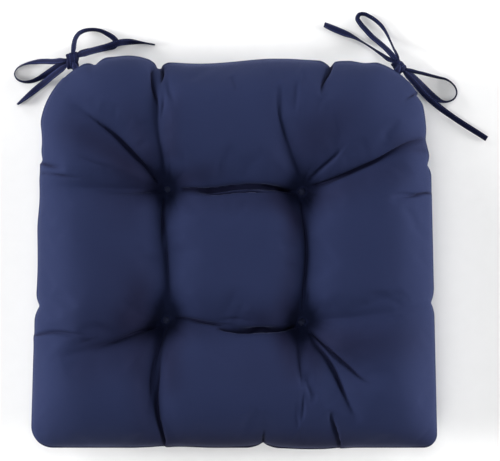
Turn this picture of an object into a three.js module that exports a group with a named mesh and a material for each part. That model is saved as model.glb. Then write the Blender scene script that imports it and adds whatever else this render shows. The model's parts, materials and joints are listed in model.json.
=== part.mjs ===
// A tufted seat cushion for a wicker chair, with a tape bow at each of its back corners.
//
// It lies on its back on the surface z = 0, in millimetres, with +Z up. Its front edge faces
// -Y, and its narrower back edge, where the ties are sewn into the seam, faces +Y. The origin
// is on that surface, under the middle of the cushion.

import * as THREE from 'three';

// The cover and its filling
const SEAM_HEIGHT = 50; // the knife-edge seam runs around halfway up
const SEAM_THICKNESS = 2.4;
const SEAM_WAVES = [
  // how far the seam rises and sinks, and how many times on its way around
  { height: 2.2, count: 3, start: 40 },
  { height: 1.2, count: 7, start: 110 },
];
const CROWN_ABOVE = 57; // from the seam to the top of a full lobe
const CROWN_BELOW = 54; // from the seam down, before the surface flattens the lobes
const EDGE_ROUND = 74; // how far in from the seam the cover takes to swell up
const UNDER_DEPTH = 0.85; // share of each hollow and fold that the underside repeats

// Where the four sides would meet, and how far each corner is rounded
const CORNERS = {
  frontLeft: { x: -242.6, y: -233, round: 27 },
  frontRight: { x: 242.5, y: -233, round: 17 },
  backRight: { x: 232, y: 229, round: 84 },
  backLeft: { x: -229, y: 234, round: 94 },
};

// Each side runs between two corners, and its cloth gives way along `inward`
const SIDES = {
  front: { from: CORNERS.frontLeft, to: CORNERS.frontRight, inward: [0, 1] },
  right: { from: CORNERS.frontRight, to: CORNERS.backRight, inward: [-1, 0] },
  back: { from: CORNERS.backLeft, to: CORNERS.backRight, inward: [0, -1] },
  left: { from: CORNERS.frontLeft, to: CORNERS.backLeft, inward: [1, 0] },
};

// Dents of the seam line: `at` is X on the front and back sides and Y on the others, `depth`
// is how far the seam is drawn in and `reach` how far the dent spreads each way. A pinched
// one is a fold that runs over the edge, and the others are soft waves.
const DENTS = [
  { side: 'back', at: -91, depth: 14, reach: 15, pinched: true },
  { side: 'back', at: 115, depth: 11, reach: 14, pinched: true },
  { side: 'back', at: -172, depth: 4, reach: 12, pinched: true },
  { side: 'back', at: -45, depth: 7, reach: 95, pinched: false },
  { side: 'back', at: 120, depth: 2, reach: 60, pinched: false },
  { side: 'front', at: 34, depth: 9, reach: 19, pinched: true },
  { side: 'front', at: -74, depth: 1.5, reach: 50, pinched: false },
  { side: 'left', at: -64, depth: 5, reach: 17, pinched: true },
  { side: 'left', at: -25, depth: 2, reach: 70, pinched: false },
  { side: 'left', at: 65, depth: 2, reach: 40, pinched: false },
  { side: 'left', at: 130, depth: 3, reach: 34, pinched: false },
  { side: 'left', at: 112, depth: 4, reach: 12, pinched: true },
  { side: 'right', at: 104, depth: 4, reach: 13, pinched: true },
  { side: 'right', at: -60, depth: 4, reach: 17, pinched: true },
  { side: 'right', at: 150, depth: 4.7, reach: 60, pinched: false },
];

// Where the cover is stitched down right through the filling
const TUFTS = {
  backLeft: { x: -79, y: 75 },
  backRight: { x: 80.5, y: 72 },
  frontLeft: { x: -80.5, y: -80.5 },
  frontRight: { x: 80.5, y: -83 },
};
const HOLLOW_DEPTH = 38;
const HOLLOW_REACH = 58;
const HOLLOW_SHARPNESS = 1.9; // 1 is a plain cone, and more is narrower at the bottom

// The stitch that shows at the bottom of each hollow
const TACK_RADIUS = 4;
const TACK_HEIGHT = 3;
const TACK_GAP = 0.5; // between a stitch and the slope of its hollow

// The folds that run from the tufts: route points are [x, y], `depth` is how far the cloth
// dips at the start, middle and end of the fold, and `reach` how far the dip spreads each way
const FOLDS = [
  { name: 'across the back tufts', depth: [13, 23, 13], reach: 62,
    route: [[-79, 75], [-30, 72.5], [0, 77.5], [44, 77], [80, 72]] },
  { name: 'across the front tufts', depth: [13, 23, 13], reach: 62,
    route: [[-80, -80], [-35, -79], [-8, -88], [26, -93], [80, -84]] },
  { name: 'down the left tufts', depth: [13, 22, 13], reach: 62,
    route: [[-79, 75], [-84, 36], [-79, 10], [-78, -40], [-80, -80]] },
  { name: 'down the right tufts', depth: [13, 22, 13], reach: 62,
    route: [[80.5, 72], [84, 38], [86, -6], [82, -45], [80.5, -83]] },
  { name: 'back left tuft to the back edge', depth: [12, 16, 27], reach: 44,
    route: [[-79, 75], [-86, 124], [-91, 158], [-94, 200], [-91, 240]] },
  { name: 'back right tuft to the back edge', depth: [12, 13, 4], reach: 44,
    route: [[80, 72], [67, 115], [56, 158], [53, 192]] },
  { name: 'right notch of the back edge', depth: [25, 14, 0], reach: 30,
    route: [[117, 238], [110, 205], [104, 186]] },
  { name: 'back left tuft to its corner', depth: [22, 18, 3], reach: 46,
    route: [[-79, 75], [-113, 106], [-155, 150], [-190, 178]] },
  { name: 'back left tuft to the left edge', depth: [26, 13, 4], reach: 46,
    route: [[-79, 75], [-130, 75], [-180, 77], [-236, 78]] },
  { name: 'left edge above', depth: [8, 5, 0], reach: 24,
    route: [[-240, 110], [-212, 102], [-196, 98]] },
  { name: 'back right tuft to the right edge', depth: [20, 17, 6], reach: 42,
    route: [[80, 72], [122, 88], [168, 110], [222, 134]] },
  { name: 'beside it, nearer the back', depth: [11, 9, 0], reach: 26,
    route: [[84, 78], [108, 103], [138, 135]] },
  { name: 'right edge above', depth: [8, 4, 0], reach: 24,
    route: [[242, 116], [216, 119], [196, 121]] },
  { name: 'right edge below', depth: [8, 4, 0], reach: 26,
    route: [[244, 68], [216, 66], [196, 66]] },
  { name: 'front left tuft to the left edge', depth: [30, 17, 8], reach: 50,
    route: [[-81, -81], [-117, -98], [-164, -113], [-204, -100], [-244, -98]] },
  { name: 'front right tuft to the right edge', depth: [20, 8, 5], reach: 48,
    route: [[81, -83], [130, -78], [190, -70], [244, -62]] },
  { name: 'front left tuft to the front edge', depth: [22, 15, 9], reach: 46,
    route: [[-81, -82], [-90, -120], [-90, -172], [-86, -205], [-78, -240]] },
  { name: 'branch of it', depth: [12, 9, 0], reach: 24,
    route: [[-94, -140], [-99, -155], [-99, -170], [-103, -190]] },
  { name: 'front right tuft to its corner', depth: [14, 18, 2], reach: 34,
    route: [[81, -84], [103, -118], [129, -160], [145, -192]] },
  { name: 'beside it, nearer the right', depth: [12, 11, 0], reach: 30,
    route: [[86, -84], [111, -117], [147, -147], [177, -164]] },
  { name: 'front edge, right of the middle', depth: [12, 7, 0], reach: 28,
    route: [[125, -238], [119, -205], [112, -182]] },
  { name: 'front right tuft to the front edge', depth: [22, 8, 0], reach: 44,
    route: [[79, -86], [77, -122], [78, -160]] },
  { name: 'front notch', depth: [15, 7, 0], reach: 34,
    route: [[34, -240], [33, -214], [30, -190]] },
];
const FOLD_BLEND = 3.5; // how sharply one fold takes over from another where they meet
const CLEFT_EASE = 4; // the bottom of a fold is eased over about this width
const CLEFT_STEEPNESS = 0.97; // 1 would press the two lobes together to an upright cut

// Lobes that stand a little higher or lower than the rest
const LOBES = [
  { name: 'middle', x: 0, y: -5, rise: 1.5 },
  { name: 'back middle', x: -18, y: 150, rise: 2 },
  { name: 'front middle', x: -20, y: -160, rise: 3 },
  { name: 'left', x: -160, y: -8, rise: 1 },
  { name: 'right', x: 165, y: 8, rise: 2 },
  { name: 'back left', x: -150, y: 190, rise: -3 },
  { name: 'back right', x: 150, y: 170, rise: 0 },
  { name: 'front left', x: -165, y: -170, rise: 3 },
  { name: 'front right', x: 185, y: -130, rise: 1 },
];
const LOBE_REACH = 62;

// The mesh: cells from an edge to the first tuft line, between the tuft lines, and on to the
// other edge, drawn together at both ends of each stretch
const CELLS = 16;
const CELL_BUNCHING = 0.72;
const TUFT_LINES = { across: [-0.34, 0.34], along: [-0.348, 0.32] };
const ROUNDING_FROM = 0.42; // share of the way out at which the mesh starts to bend to the
const DENTS_FROM = 0.78; // rounded corners and to the dents of the seam

// Tape ties
const TAPE_WIDTH = 8;
const TAPE_THICKNESS = 1.5;
const TAPE_STEP = 5;
const FLOOR_GAP = 0.3;
const GATHERED = 0.55; // share of its width that a tape keeps where a knot grips it
const GATHER_LENGTH = 15;
const KNOT_SIZE = [8, 8, 6.5]; // half sizes
const KNOTS = {
  left: [-193, 229, 36],
  right: [197, 222, 36],
};

// Each run of tape is a list of [x, y, lift, roll]: `lift` is how high the tape's lower edge
// is above the surface, and `roll` turns the tape from flat, 0, to on edge, 90. Runs start at
// their knot, and a loop also ends there.
const TAPES = [
  { name: 'tie_left_lead_inner', gathered: 'end', route: [
    [-189, 218.7, 47.4, 0], [-189.7, 220.4, 45, 0], [-190.3, 222.2, 41.6, 0]] },
  { name: 'tie_left_lead_outer', gathered: 'end', route: [
    [-189.1, 219.3, 50.1, 0], [-190, 221.8, 48, 0], [-190.9, 224.8, 43.6, 0]] },
  { name: 'tie_left_loop_back', gathered: 'both', route: [
    [-192.7, 237.8, 37, 30], [-191.5, 245.5, 33, 45], [-190.6, 252, 24, 52], [-188.6, 258, 14, 56],
    [-184.5, 263, 6, 58], [-178, 266, 1.5, 60], [-170, 267, 0.4, 62], [-161, 265.8, 0.4, 60],
    [-152, 261.7, 0.4, 50], [-145, 257, 0.4, 42], [-141, 252, 0.4, 40], [-144, 247.6, 0.4, 24],
    [-151, 246, 0.4, 12], [-162, 243.5, 0.4, 8], [-170, 241.5, 7, 8], [-177, 239.8, 17, 8],
    [-183, 237.6, 26, 8], [-187, 235.4, 33.2, 8]] },
  { name: 'tie_left_loop_out', gathered: 'both', route: [
    [-201.8, 229.3, 36.5, 15], [-209, 228.6, 32, 30], [-217, 228, 24, 36], [-226, 228.5, 14, 36],
    [-236, 228.3, 5, 45], [-244, 227.2, 1, 62], [-252, 225, 0.4, 76], [-259, 221, 0.4, 84],
    [-263, 214.5, 0.4, 86], [-260.5, 208, 0.4, 84], [-254, 204.6, 0.4, 78], [-245, 204.5, 0.4, 66],
    [-236, 207.5, 0.4, 52], [-228, 212, 2, 38], [-219, 217.6, 10, 26], [-210, 222.8, 21, 18],
    [-201.4, 226.2, 31.4, 10]] },
  { name: 'tie_left_tail_out', gathered: 'start', route: [
    [-200, 223.6, 35.2, 10], [-206, 219.3, 31, 12], [-213, 214.4, 22.5, 12], [-220, 209.3, 12, 12],
    [-228, 203, 3.6, 12], [-237, 196, 0.6, 20], [-249, 186, 0.4, 46], [-260, 177, 0.4, 76]] },
  { name: 'tie_left_tail_back', gathered: 'start', route: [
    [-186.1, 234.3, 38, 6], [-180, 237.2, 32.5, 6], [-174, 239.6, 24.5, 6], [-166, 242.2, 14.5, 6],
    [-158, 244.6, 8, 6], [-150, 247, 6.6, 8], [-143.5, 249.4, 7.4, 8], [-138, 251, 7.2, 10],
    [-131, 252, 4.4, 16], [-124, 252.3, 1.6, 34], [-116, 251.8, 0.4, 60], [-108, 251, 0.4, 78],
    [-95, 249, 0.4, 86]] },
  { name: 'tie_right_lead_inner', gathered: 'end', route: [
    [194.9, 217, 47.4, 0], [195.4, 218.1, 45.2, 0], [195.9, 219.2, 43.4, 0]] },
  { name: 'tie_right_lead_outer', gathered: 'end', route: [
    [195, 217.9, 50.2, 0], [195.9, 219.8, 48.4, 0], [196.7, 221.6, 45.4, 0]] },
  { name: 'tie_right_loop_back', gathered: 'both', route: [
    [192.7, 230.7, 36.4, 20], [187.6, 236.8, 32.6, 34], [180.8, 244.2, 24, 40], [172.8, 251.6, 14, 40],
    [165, 258.6, 5.6, 40], [158, 266.4, 1, 42], [151, 274.5, 0.4, 44], [147.8, 280.5, 0.4, 50],
    [150, 285, 0.4, 58], [156, 285.6, 0.4, 60], [163, 282.4, 0.4, 60], [170, 277.7, 0.4, 60],
    [177, 271, 0.4, 62], [183, 262, 0.4, 72], [187.6, 252.4, 4, 80], [191, 244, 13, 80],
    [193.8, 237.6, 23, 74], [196, 231.8, 30.4, 60]] },
  { name: 'tie_right_loop_out', gathered: 'both', route: [
    [205, 218.5, 35.2, 24], [210.4, 217, 30, 50], [217, 215.6, 23, 64], [226, 214, 14, 66],
    [236, 211.6, 5, 68], [245, 209.5, 0.8, 72], [254, 207.4, 0.4, 78], [261, 203, 0.4, 84],
    [266, 196.5, 0.4, 86], [267, 190, 0.4, 86], [264, 184, 0.4, 84], [258, 180.8, 0.4, 80],
    [250, 180.6, 0.4, 66], [242.8, 184, 0.4, 36], [236, 189.4, 0.4, 18], [229, 196, 2.4, 14],
    [222, 202.6, 9, 14], [214.6, 209.2, 18.4, 12], [203.9, 216.5, 31.6, 8]] },
  { name: 'tie_right_tail_out', gathered: 'start', route: [
    [203.2, 215.7, 38, 6], [208.5, 210.6, 33.6, 8], [214, 205, 27, 10], [220, 198.6, 19, 12],
    [226, 191.8, 13, 12], [233, 184.8, 9.4, 12], [240.5, 178.2, 7.4, 16], [249, 171.6, 3, 26],
    [258, 165.2, 0.5, 34], [273, 155, 0.4, 36], [288, 145.6, 0.4, 38], [303, 136, 0.4, 42]] },
  { name: 'tie_right_tail_back', gathered: 'start', route: [
    [190.6, 227.9, 30.6, 20], [184.2, 231.4, 23, 46], [175.2, 237.8, 13, 64], [165, 244.8, 5, 76],
    [155, 251.2, 1, 78], [144, 257.6, 0.4, 60], [131, 263.2, 0.4, 20], [119, 268.2, 0.4, 18],
    [108, 273, 0.4, 44]] },
];

const { lerp, smoothstep, degToRad } = THREE.MathUtils;

const cloth = (name, colour, roughness) => {
  const material = new THREE.MeshStandardMaterial({ color: colour, roughness, metalness: 0 });
  material.name = name;
  return material;
};

// The outline

// The shift that rounds a corner, for a point of the side `along` at a distance from it
function cornerShift(corner, along, across, distance) {
  if (distance >= corner.round) return new THREE.Vector2();
  const turn = degToRad(45) * (1 - distance / corner.round);
  const back = corner.round * (1 - Math.sin(turn)) - distance;
  const inward = corner.round * (1 - Math.cos(turn));
  return along.clone().multiplyScalar(back).addScaledVector(across, inward);
}

// How far the dents draw the seam in at one place of a side
function dentDepth(sideName, at) {
  let depth = 0;
  for (const dent of DENTS) {
    if (dent.side !== sideName) continue;
    const t = Math.abs(at - dent.at) / dent.reach;
    if (t < 1) depth += dent.depth * (dent.pinched ? (1 - t) ** 2 : (1 - t * t) ** 2);
  }
  return depth;
}

// The side that a direction from the middle meets, and the share of it at which it does
function sideOf(across, along) {
  const longest = Math.max(Math.abs(across), Math.abs(along)) || 1;
  if (Math.abs(across) >= Math.abs(along)) {
    return { name: across > 0 ? 'right' : 'left', share: (along / longest + 1) / 2 };
  }
  return { name: along > 0 ? 'back' : 'front', share: (across / longest + 1) / 2 };
}

// Shifts of the seam, from the straight-sided figure to the real outline
function seamShifts(across, along) {
  const { name, share } = sideOf(across, along);
  const side = SIDES[name];
  const run = new THREE.Vector2(side.to.x - side.from.x, side.to.y - side.from.y);
  const length = run.length();
  const direction = run.clone().normalize();
  const inward = new THREE.Vector2(...side.inward);
  const rounding = cornerShift(side.from, direction, inward, share * length);
  rounding.add(cornerShift(side.to, direction.clone().negate(), inward, (1 - share) * length));
  const place = new THREE.Vector2(side.from.x, side.from.y).addScaledVector(run, share);
  const at = side.inward[0] === 0 ? place.x : place.y;
  return { rounding, dent: inward.clone().multiplyScalar(dentDepth(name, at)) };
}

// The place in plan of a mesh point: across and along both run from -1 to 1
function planPoint(across, along) {
  const u = (across + 1) / 2;
  const v = (along + 1) / 2;
  const { frontLeft, frontRight, backRight, backLeft } = CORNERS;
  const plan = new THREE.Vector2(
    lerp(lerp(frontLeft.x, frontRight.x, u), lerp(backLeft.x, backRight.x, u), v),
    lerp(lerp(frontLeft.y, frontRight.y, u), lerp(backLeft.y, backRight.y, u), v),
  );
  const ring = Math.max(Math.abs(across), Math.abs(along));
  const { rounding, dent } = seamShifts(across, along);
  plan.addScaledVector(rounding, smoothstep(ring, ROUNDING_FROM, 1));
  return plan.addScaledVector(dent, smoothstep(ring, DENTS_FROM, 1));
}

// The swell of the cover

// A fold's share of its full depth at a distance from its line: two round lobes pressed
// together, with the bottom of the cleft eased
function cleft(distance, reach) {
  const eased = Math.hypot(distance, CLEFT_EASE) - CLEFT_EASE;
  const t = 1 - Math.min(eased / (reach - CLEFT_EASE), 1);
  return 1 - Math.sqrt(1 - t * t * CLEFT_STEEPNESS);
}

// Distance from a point to a fold's route, and how far along the route the nearest place is
function nearestOnRoute(route, x, y) {
  let best = { distance: Infinity, share: 0 };
  for (let i = 0; i + 1 < route.length; i += 1) {
    const [x0, y0] = route[i];
    const [x1, y1] = route[i + 1];
    const reach = (x1 - x0) ** 2 + (y1 - y0) ** 2;
    const raw = ((x - x0) * (x1 - x0) + (y - y0) * (y1 - y0)) / reach;
    const t = Math.min(Math.max(raw, 0), 1);
    const distance = Math.hypot(x - lerp(x0, x1, t), y - lerp(y0, y1, t));
    if (distance < best.distance) best = { distance, share: (i + t) / (route.length - 1) };
  }
  return best;
}

function foldDip(x, y) {
  let sum = 0;
  for (const { route, depth, reach } of FOLDS) {
    const { distance, share } = nearestOnRoute(route, x, y);
    if (distance >= reach) continue;
    const [start, middle, end] = depth;
    const here = share < 0.5 ? lerp(start, middle, share * 2) : lerp(middle, end, share * 2 - 1);
    sum += (here * cleft(distance, reach)) ** FOLD_BLEND;
  }
  return sum ** (1 / FOLD_BLEND);
}

function tuftDip(x, y) {
  let dip = 0;
  for (const tuft of Object.values(TUFTS)) {
    const t = Math.min(Math.hypot(x - tuft.x, y - tuft.y) / HOLLOW_REACH, 1);
    dip += HOLLOW_DEPTH * (1 - t) ** HOLLOW_SHARPNESS;
  }
  return dip;
}

// The seam's height where a line from the middle through x, y meets it
function seamHeight(x, y) {
  const around = Math.atan2(y, x);
  let height = SEAM_HEIGHT;
  for (const wave of SEAM_WAVES) {
    height += wave.height * Math.sin(wave.count * around + degToRad(wave.start));
  }
  return height;
}

function lobeRise(x, y) {
  let rise = 0;
  for (const lobe of LOBES) {
    rise += lobe.rise * Math.exp(-(((x - lobe.x) ** 2 + (y - lobe.y) ** 2) / LOBE_REACH ** 2));
  }
  return rise;
}

// The cover's fullness, from 0 at the seam to 1 where it has swollen up
function fullness(across, along) {
  const halfWidth = (CORNERS.frontRight.x - CORNERS.frontLeft.x) / 2;
  const halfDepth = (CORNERS.backLeft.y - CORNERS.frontLeft.y) / 2;
  const x = Math.max(1 - ((1 - Math.abs(across)) * halfWidth) / EDGE_ROUND, 0);
  const y = Math.max(1 - ((1 - Math.abs(along)) * halfDepth) / EDGE_ROUND, 0);
  return Math.sqrt(1 - x * x) * Math.sqrt(1 - y * y);
}

// Share of the way across, from -1 to 1, of each line of the mesh
function meshLine(step, [firstTuft, secondTuft]) {
  const stops = [-1, firstTuft, secondTuft, 1];
  const stretch = Math.min(Math.floor(step / CELLS), 2);
  const t = step / CELLS - stretch;
  const bunched = lerp(t, (1 - Math.cos(Math.PI * t)) / 2, CELL_BUNCHING);
  return lerp(stops[stretch], stops[stretch + 1], bunched);
}

// Splits a cell along its other diagonal where that one points away from the middle, so
// that the folds that run to the corners follow the mesh
function turnCells(geometry) {
  const position = geometry.getAttribute('position');
  const { array } = geometry.index;
  for (let i = 0; i < array.length; i += 6) {
    const [a, b, d, , c] = array.slice(i, i + 6);
    const middleX = (position.getX(a) + position.getX(c)) / 2;
    const middleY = (position.getY(a) + position.getY(c)) / 2;
    const spanX = position.getX(c) - position.getX(a);
    const spanY = position.getY(c) - position.getY(a);
    if (middleX * spanX * middleY * spanY > 0) array.set([a, b, c, a, c, d], i);
  }
}

function buildCushion() {
  const steps = 3 * CELLS;
  const geometry = new THREE.BoxGeometry(2, 2, 2, steps, steps, 1);
  const position = geometry.getAttribute('position');
  for (let i = 0; i < position.count; i += 1) {
    const column = Math.round(((position.getX(i) + 1) / 2) * steps);
    const row = Math.round(((position.getY(i) + 1) / 2) * steps);
    const across = meshLine(column, TUFT_LINES.across);
    const along = meshLine(row, TUFT_LINES.along);
    const plan = planPoint(across, along);
    const full = fullness(across, along);
    const dip = tuftDip(plan.x, plan.y) + foldDip(plan.x, plan.y);
    const seam = lerp(seamHeight(plan.x, plan.y), SEAM_HEIGHT, full);
    const above = CROWN_ABOVE + lobeRise(plan.x, plan.y) - dip;
    const below = CROWN_BELOW - UNDER_DEPTH * dip;
    const isTop = position.getZ(i) > 0;
    const top = seam + SEAM_THICKNESS / 2 + full * above;
    const bottom = Math.max(seam - SEAM_THICKNESS / 2 - full * below, 0);
    position.setXYZ(i, plan.x, plan.y, isTop ? top : bottom);
  }
  turnCells(geometry);
  geometry.deleteAttribute('normal');
  geometry.computeVertexNormals();
  return new THREE.Mesh(geometry, cloth('navy cover', 0x2b3455, 0.85));
}

// The stitches that hold the tufts down

// The highest that the cover stands around the edge of a stitch
function slopeAround(x, y) {
  let highest = 0;
  for (let turn = 0; turn < 2 * Math.PI; turn += Math.PI / 8) {
    const edgeX = x + TACK_RADIUS * Math.cos(turn);
    const edgeY = y + TACK_RADIUS * Math.sin(turn);
    const dip = tuftDip(edgeX, edgeY) + foldDip(edgeX, edgeY);
    highest = Math.max(highest, CROWN_ABOVE + lobeRise(edgeX, edgeY) - dip);
  }
  return SEAM_HEIGHT + SEAM_THICKNESS / 2 + highest;
}

function buildTack({ x, y }) {
  const profile = [];
  const rings = 5;
  for (let i = 0; i <= rings; i += 1) {
    const turn = lerp(-Math.PI / 2, Math.PI / 2, i / rings);
    const radius = i === 0 || i === rings ? 0 : TACK_RADIUS * Math.cos(turn);
    profile.push(new THREE.Vector2(radius, (TACK_HEIGHT / 2) * Math.sin(turn)));
  }
  const geometry = new THREE.LatheGeometry(profile, 12);
  const mesh = new THREE.Mesh(geometry, cloth('navy thread', 0x343c5e, 0.6));
  mesh.rotation.x = Math.PI / 2;
  mesh.position.set(x, y, slopeAround(x, y) + TACK_GAP + TACK_HEIGHT / 2);
  return mesh;
}

// The ties

// Half of the height that a tape takes up when it is rolled from flat towards its edge
function tapeHalfHeight(roll) {
  const angle = degToRad(roll);
  return (TAPE_WIDTH * Math.sin(angle) + TAPE_THICKNESS * Math.cos(angle)) / 2;
}

function gathering(gathered, fromStart, fromEnd) {
  const start = gathered === 'start' || gathered === 'both' ? fromStart : Infinity;
  const end = gathered === 'end' || gathered === 'both' ? fromEnd : Infinity;
  return lerp(GATHERED, 1, smoothstep(Math.min(start, end), 0, GATHER_LENGTH));
}

function buildTape({ gathered, route }) {
  const points = route.map(([x, y, lift, roll]) => (
    new THREE.Vector3(x, y, lift + tapeHalfHeight(roll))
  ));
  const path = new THREE.CatmullRomCurve3(points, false, 'centripetal');
  const length = path.getLength();
  const steps = Math.max(Math.round(length / TAPE_STEP), 3);
  const geometry = new THREE.BoxGeometry(1, TAPE_WIDTH, TAPE_THICKNESS, steps, 1, 1);
  const position = geometry.getAttribute('position');
  const up = new THREE.Vector3(0, 0, 1);
  for (let i = 0; i < position.count; i += 1) {
    const share = position.getX(i) + 0.5;
    const place = path.getUtoTmapping(share) * (route.length - 1);
    const before = Math.min(Math.floor(place), route.length - 2);
    const roll = lerp(route[before][3], route[before + 1][3], place - before);
    const centre = path.getPointAt(share);
    centre.z = Math.max(centre.z, tapeHalfHeight(roll) + FLOOR_GAP);
    const tangent = path.getTangentAt(share);
    const side = up.clone().cross(tangent).normalize().applyAxisAngle(tangent, degToRad(roll));
    const face = tangent.clone().cross(side);
    const narrow = gathering(gathered, share * length, (1 - share) * length);
    centre.addScaledVector(side, position.getY(i) * narrow);
    centre.addScaledVector(face, position.getZ(i));
    position.setXYZ(i, centre.x, centre.y, centre.z);
  }
  geometry.deleteAttribute('normal');
  geometry.computeVertexNormals();
  return new THREE.Mesh(geometry, cloth('navy tape', 0x262e52, 0.8));
}

function buildKnot([x, y, z]) {
  const geometry = new THREE.SphereGeometry(1, 16, 10);
  geometry.scale(...KNOT_SIZE);
  const mesh = new THREE.Mesh(geometry, cloth('navy tape', 0x262e52, 0.8));
  mesh.position.set(x, y, z);
  return mesh;
}

// The whole cushion

const group = new THREE.Group();

function add(name, mesh) {
  mesh.name = name;
  group.add(mesh);
}

add('cushion', buildCushion());
add('tuft_back_left', buildTack(TUFTS.backLeft));
add('tuft_back_right', buildTack(TUFTS.backRight));
add('tuft_front_left', buildTack(TUFTS.frontLeft));
add('tuft_front_right', buildTack(TUFTS.frontRight));
add('tie_left_knot', buildKnot(KNOTS.left));
add('tie_right_knot', buildKnot(KNOTS.right));
for (const tape of TAPES) {
  add(tape.name, buildTape(tape));
}

export default group;
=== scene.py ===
# %% [markdown]
# # A tufted cushion for a wicker chair
#
# This lesson dresses a seat cushion: a plain-woven navy cover, stuffed with fibre, stitched
# down at four tufts and tied to its chair with two tapes at each back corner. The solid model
# comes in first, as a fixed frame. Every visible piece is then a surface worked out with
# numpy, in the same place and at the same size.

# %% Load the frame
import json
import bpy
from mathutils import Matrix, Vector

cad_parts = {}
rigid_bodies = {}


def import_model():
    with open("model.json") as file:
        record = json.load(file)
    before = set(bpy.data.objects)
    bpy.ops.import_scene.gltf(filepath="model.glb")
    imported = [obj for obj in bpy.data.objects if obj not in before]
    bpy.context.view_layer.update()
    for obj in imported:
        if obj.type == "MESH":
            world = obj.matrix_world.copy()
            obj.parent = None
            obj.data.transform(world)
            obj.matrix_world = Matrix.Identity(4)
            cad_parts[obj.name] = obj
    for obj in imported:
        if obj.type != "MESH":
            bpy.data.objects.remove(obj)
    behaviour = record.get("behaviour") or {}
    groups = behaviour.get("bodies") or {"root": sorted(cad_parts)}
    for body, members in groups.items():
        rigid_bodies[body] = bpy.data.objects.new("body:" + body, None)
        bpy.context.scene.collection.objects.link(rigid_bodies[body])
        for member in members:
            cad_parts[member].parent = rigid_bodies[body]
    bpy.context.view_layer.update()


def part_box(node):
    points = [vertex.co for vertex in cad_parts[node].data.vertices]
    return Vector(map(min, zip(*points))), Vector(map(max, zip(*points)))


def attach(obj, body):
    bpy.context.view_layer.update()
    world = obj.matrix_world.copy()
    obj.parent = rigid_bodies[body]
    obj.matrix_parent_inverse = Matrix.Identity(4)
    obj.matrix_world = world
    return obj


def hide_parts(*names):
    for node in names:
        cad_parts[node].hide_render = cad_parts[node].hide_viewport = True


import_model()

from types import SimpleNamespace

import bpy
import numpy as np
from mathutils import Vector

MM = 0.001
rng = np.random.default_rng(19)

# %% [markdown]
# ## The camera
#
# The cushion is seen from straight above through a long lens, so that its outline keeps its
# true proportions. The view takes in the cushion and both bows, with a narrow margin.

# %% Camera
VIEW_WIDTH = 596 * MM
VIEW_CENTRE = (19 * MM, 26 * MM)
OUTLINE_HEIGHT = 50 * MM
CAMERA_HEIGHT = 7.5
SENSOR_WIDTH = 36.0

camera_data = bpy.data.cameras.new("camera")
camera_data.sensor_fit = "HORIZONTAL"
camera_data.sensor_width = SENSOR_WIDTH
camera_data.lens = SENSOR_WIDTH * (CAMERA_HEIGHT - OUTLINE_HEIGHT) / VIEW_WIDTH
camera = bpy.data.objects.new("camera", camera_data)
camera.location = (*VIEW_CENTRE, CAMERA_HEIGHT)
bpy.context.collection.objects.link(camera)
bpy.context.scene.camera = camera
print("lens in mm:", round(camera_data.lens))

# %% [markdown]
# ## Meshes from arrays
#
# Each piece is a grid of points computed as whole arrays. A tape or a thread is a section
# carried along a line: its grid closes on itself around the section, and a cap closes each
# end. A band closes on itself in both directions.


# %% Helpers that turn arrays into meshes
def grid_faces(rows, columns, closed=False, ring=False):
    """Corner numbers of the cells of a rows x columns grid of points. Where it is closed, its
    last column joins its first one, and in a ring its last row joins its first one."""
    row = np.arange(rows if ring else rows - 1)[:, None]
    column = np.arange(columns if closed else columns - 1)[None, :]
    here, ahead = row * columns, (row + 1) % rows * columns
    following = (column + 1) % columns
    corners = [here + column, here + following, ahead + following, ahead + column]
    return np.stack(corners, axis=-1).reshape(-1, 4)


def new_piece(name, material_slot, points, faces, uv):
    """A mesh object at the origin, from points and UV places in millimetres."""
    mesh = bpy.data.meshes.new(name)
    mesh.from_pydata((np.asarray(points) * MM).tolist(), [], [list(face) for face in faces])
    mesh.shade_smooth()
    corner = np.empty(len(mesh.loops), dtype=np.int32)
    mesh.loops.foreach_get("vertex_index", corner)
    layer = mesh.uv_layers.new(name="cloth")
    layer.data.foreach_set("uv", (np.asarray(uv) * MM)[corner].ravel())
    piece = bpy.data.objects.new(name, mesh)
    bpy.context.collection.objects.link(piece)
    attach(piece, "root")
    return piece


def smoothstep(x, low, high):
    """0 below low, 1 above high, and an S-shaped rise between them."""
    t = np.clip((x - low) / (high - low), 0, 1)
    return t * t * (3 - 2 * t)


# %% A section carried along a line
def line_frame(centre):
    """Three unit vectors at each point of a line: ahead along it, level to its left, and the
    cross product of these two, which points upwards."""
    ahead = np.gradient(centre, axis=0)
    ahead /= np.linalg.norm(ahead, axis=1, keepdims=True)
    side = np.cross([0.0, 0.0, 1.0], ahead)
    side /= np.linalg.norm(side, axis=1, keepdims=True)
    return ahead, side, np.cross(ahead, side)


def tube(centre, side, upward, y, z, run, around):
    """A closed skin along a line: at each of its points the section's y goes to the side and
    its z upwards. The UV map holds the run along the line and the place around the section,
    or across it."""
    points = centre[:, None] + side[:, None] * y[..., None] + upward[:, None] * z[..., None]
    count, sides = points.shape[:2]
    faces = grid_faces(count, sides, closed=True).tolist()
    faces += [list(range(sides))[::-1], list(range((count - 1) * sides, count * sides))]
    uv = np.stack(np.broadcast_arrays(run, around), axis=-1)
    return points.reshape(-1, 3), faces, uv.reshape(-1, 2)


# %% [markdown]
# ## The ties
#
# At each back corner two tapes are sewn into the seam and tied in a bow. A tape is a flat
# strip, so it bends easily one way only: it stands on edge where a loop turns and lies flat
# where it runs straight. A simulated bow would seldom fall as the real one did. Here each
# route is a list of given points, with the height of the tape's lower edge and its roll, 0
# lying flat and 90 on edge. A tape runs from the seam into the knot, around its loop,
# through the knot again and out to its free end.

# %% Routes of the four tapes
TAPE_WIDTH = 8
TAPE_THICKNESS = 1.3
KNOTS = {"left": (-193, 229, 36), "right": (197, 222, 36)}

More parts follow.
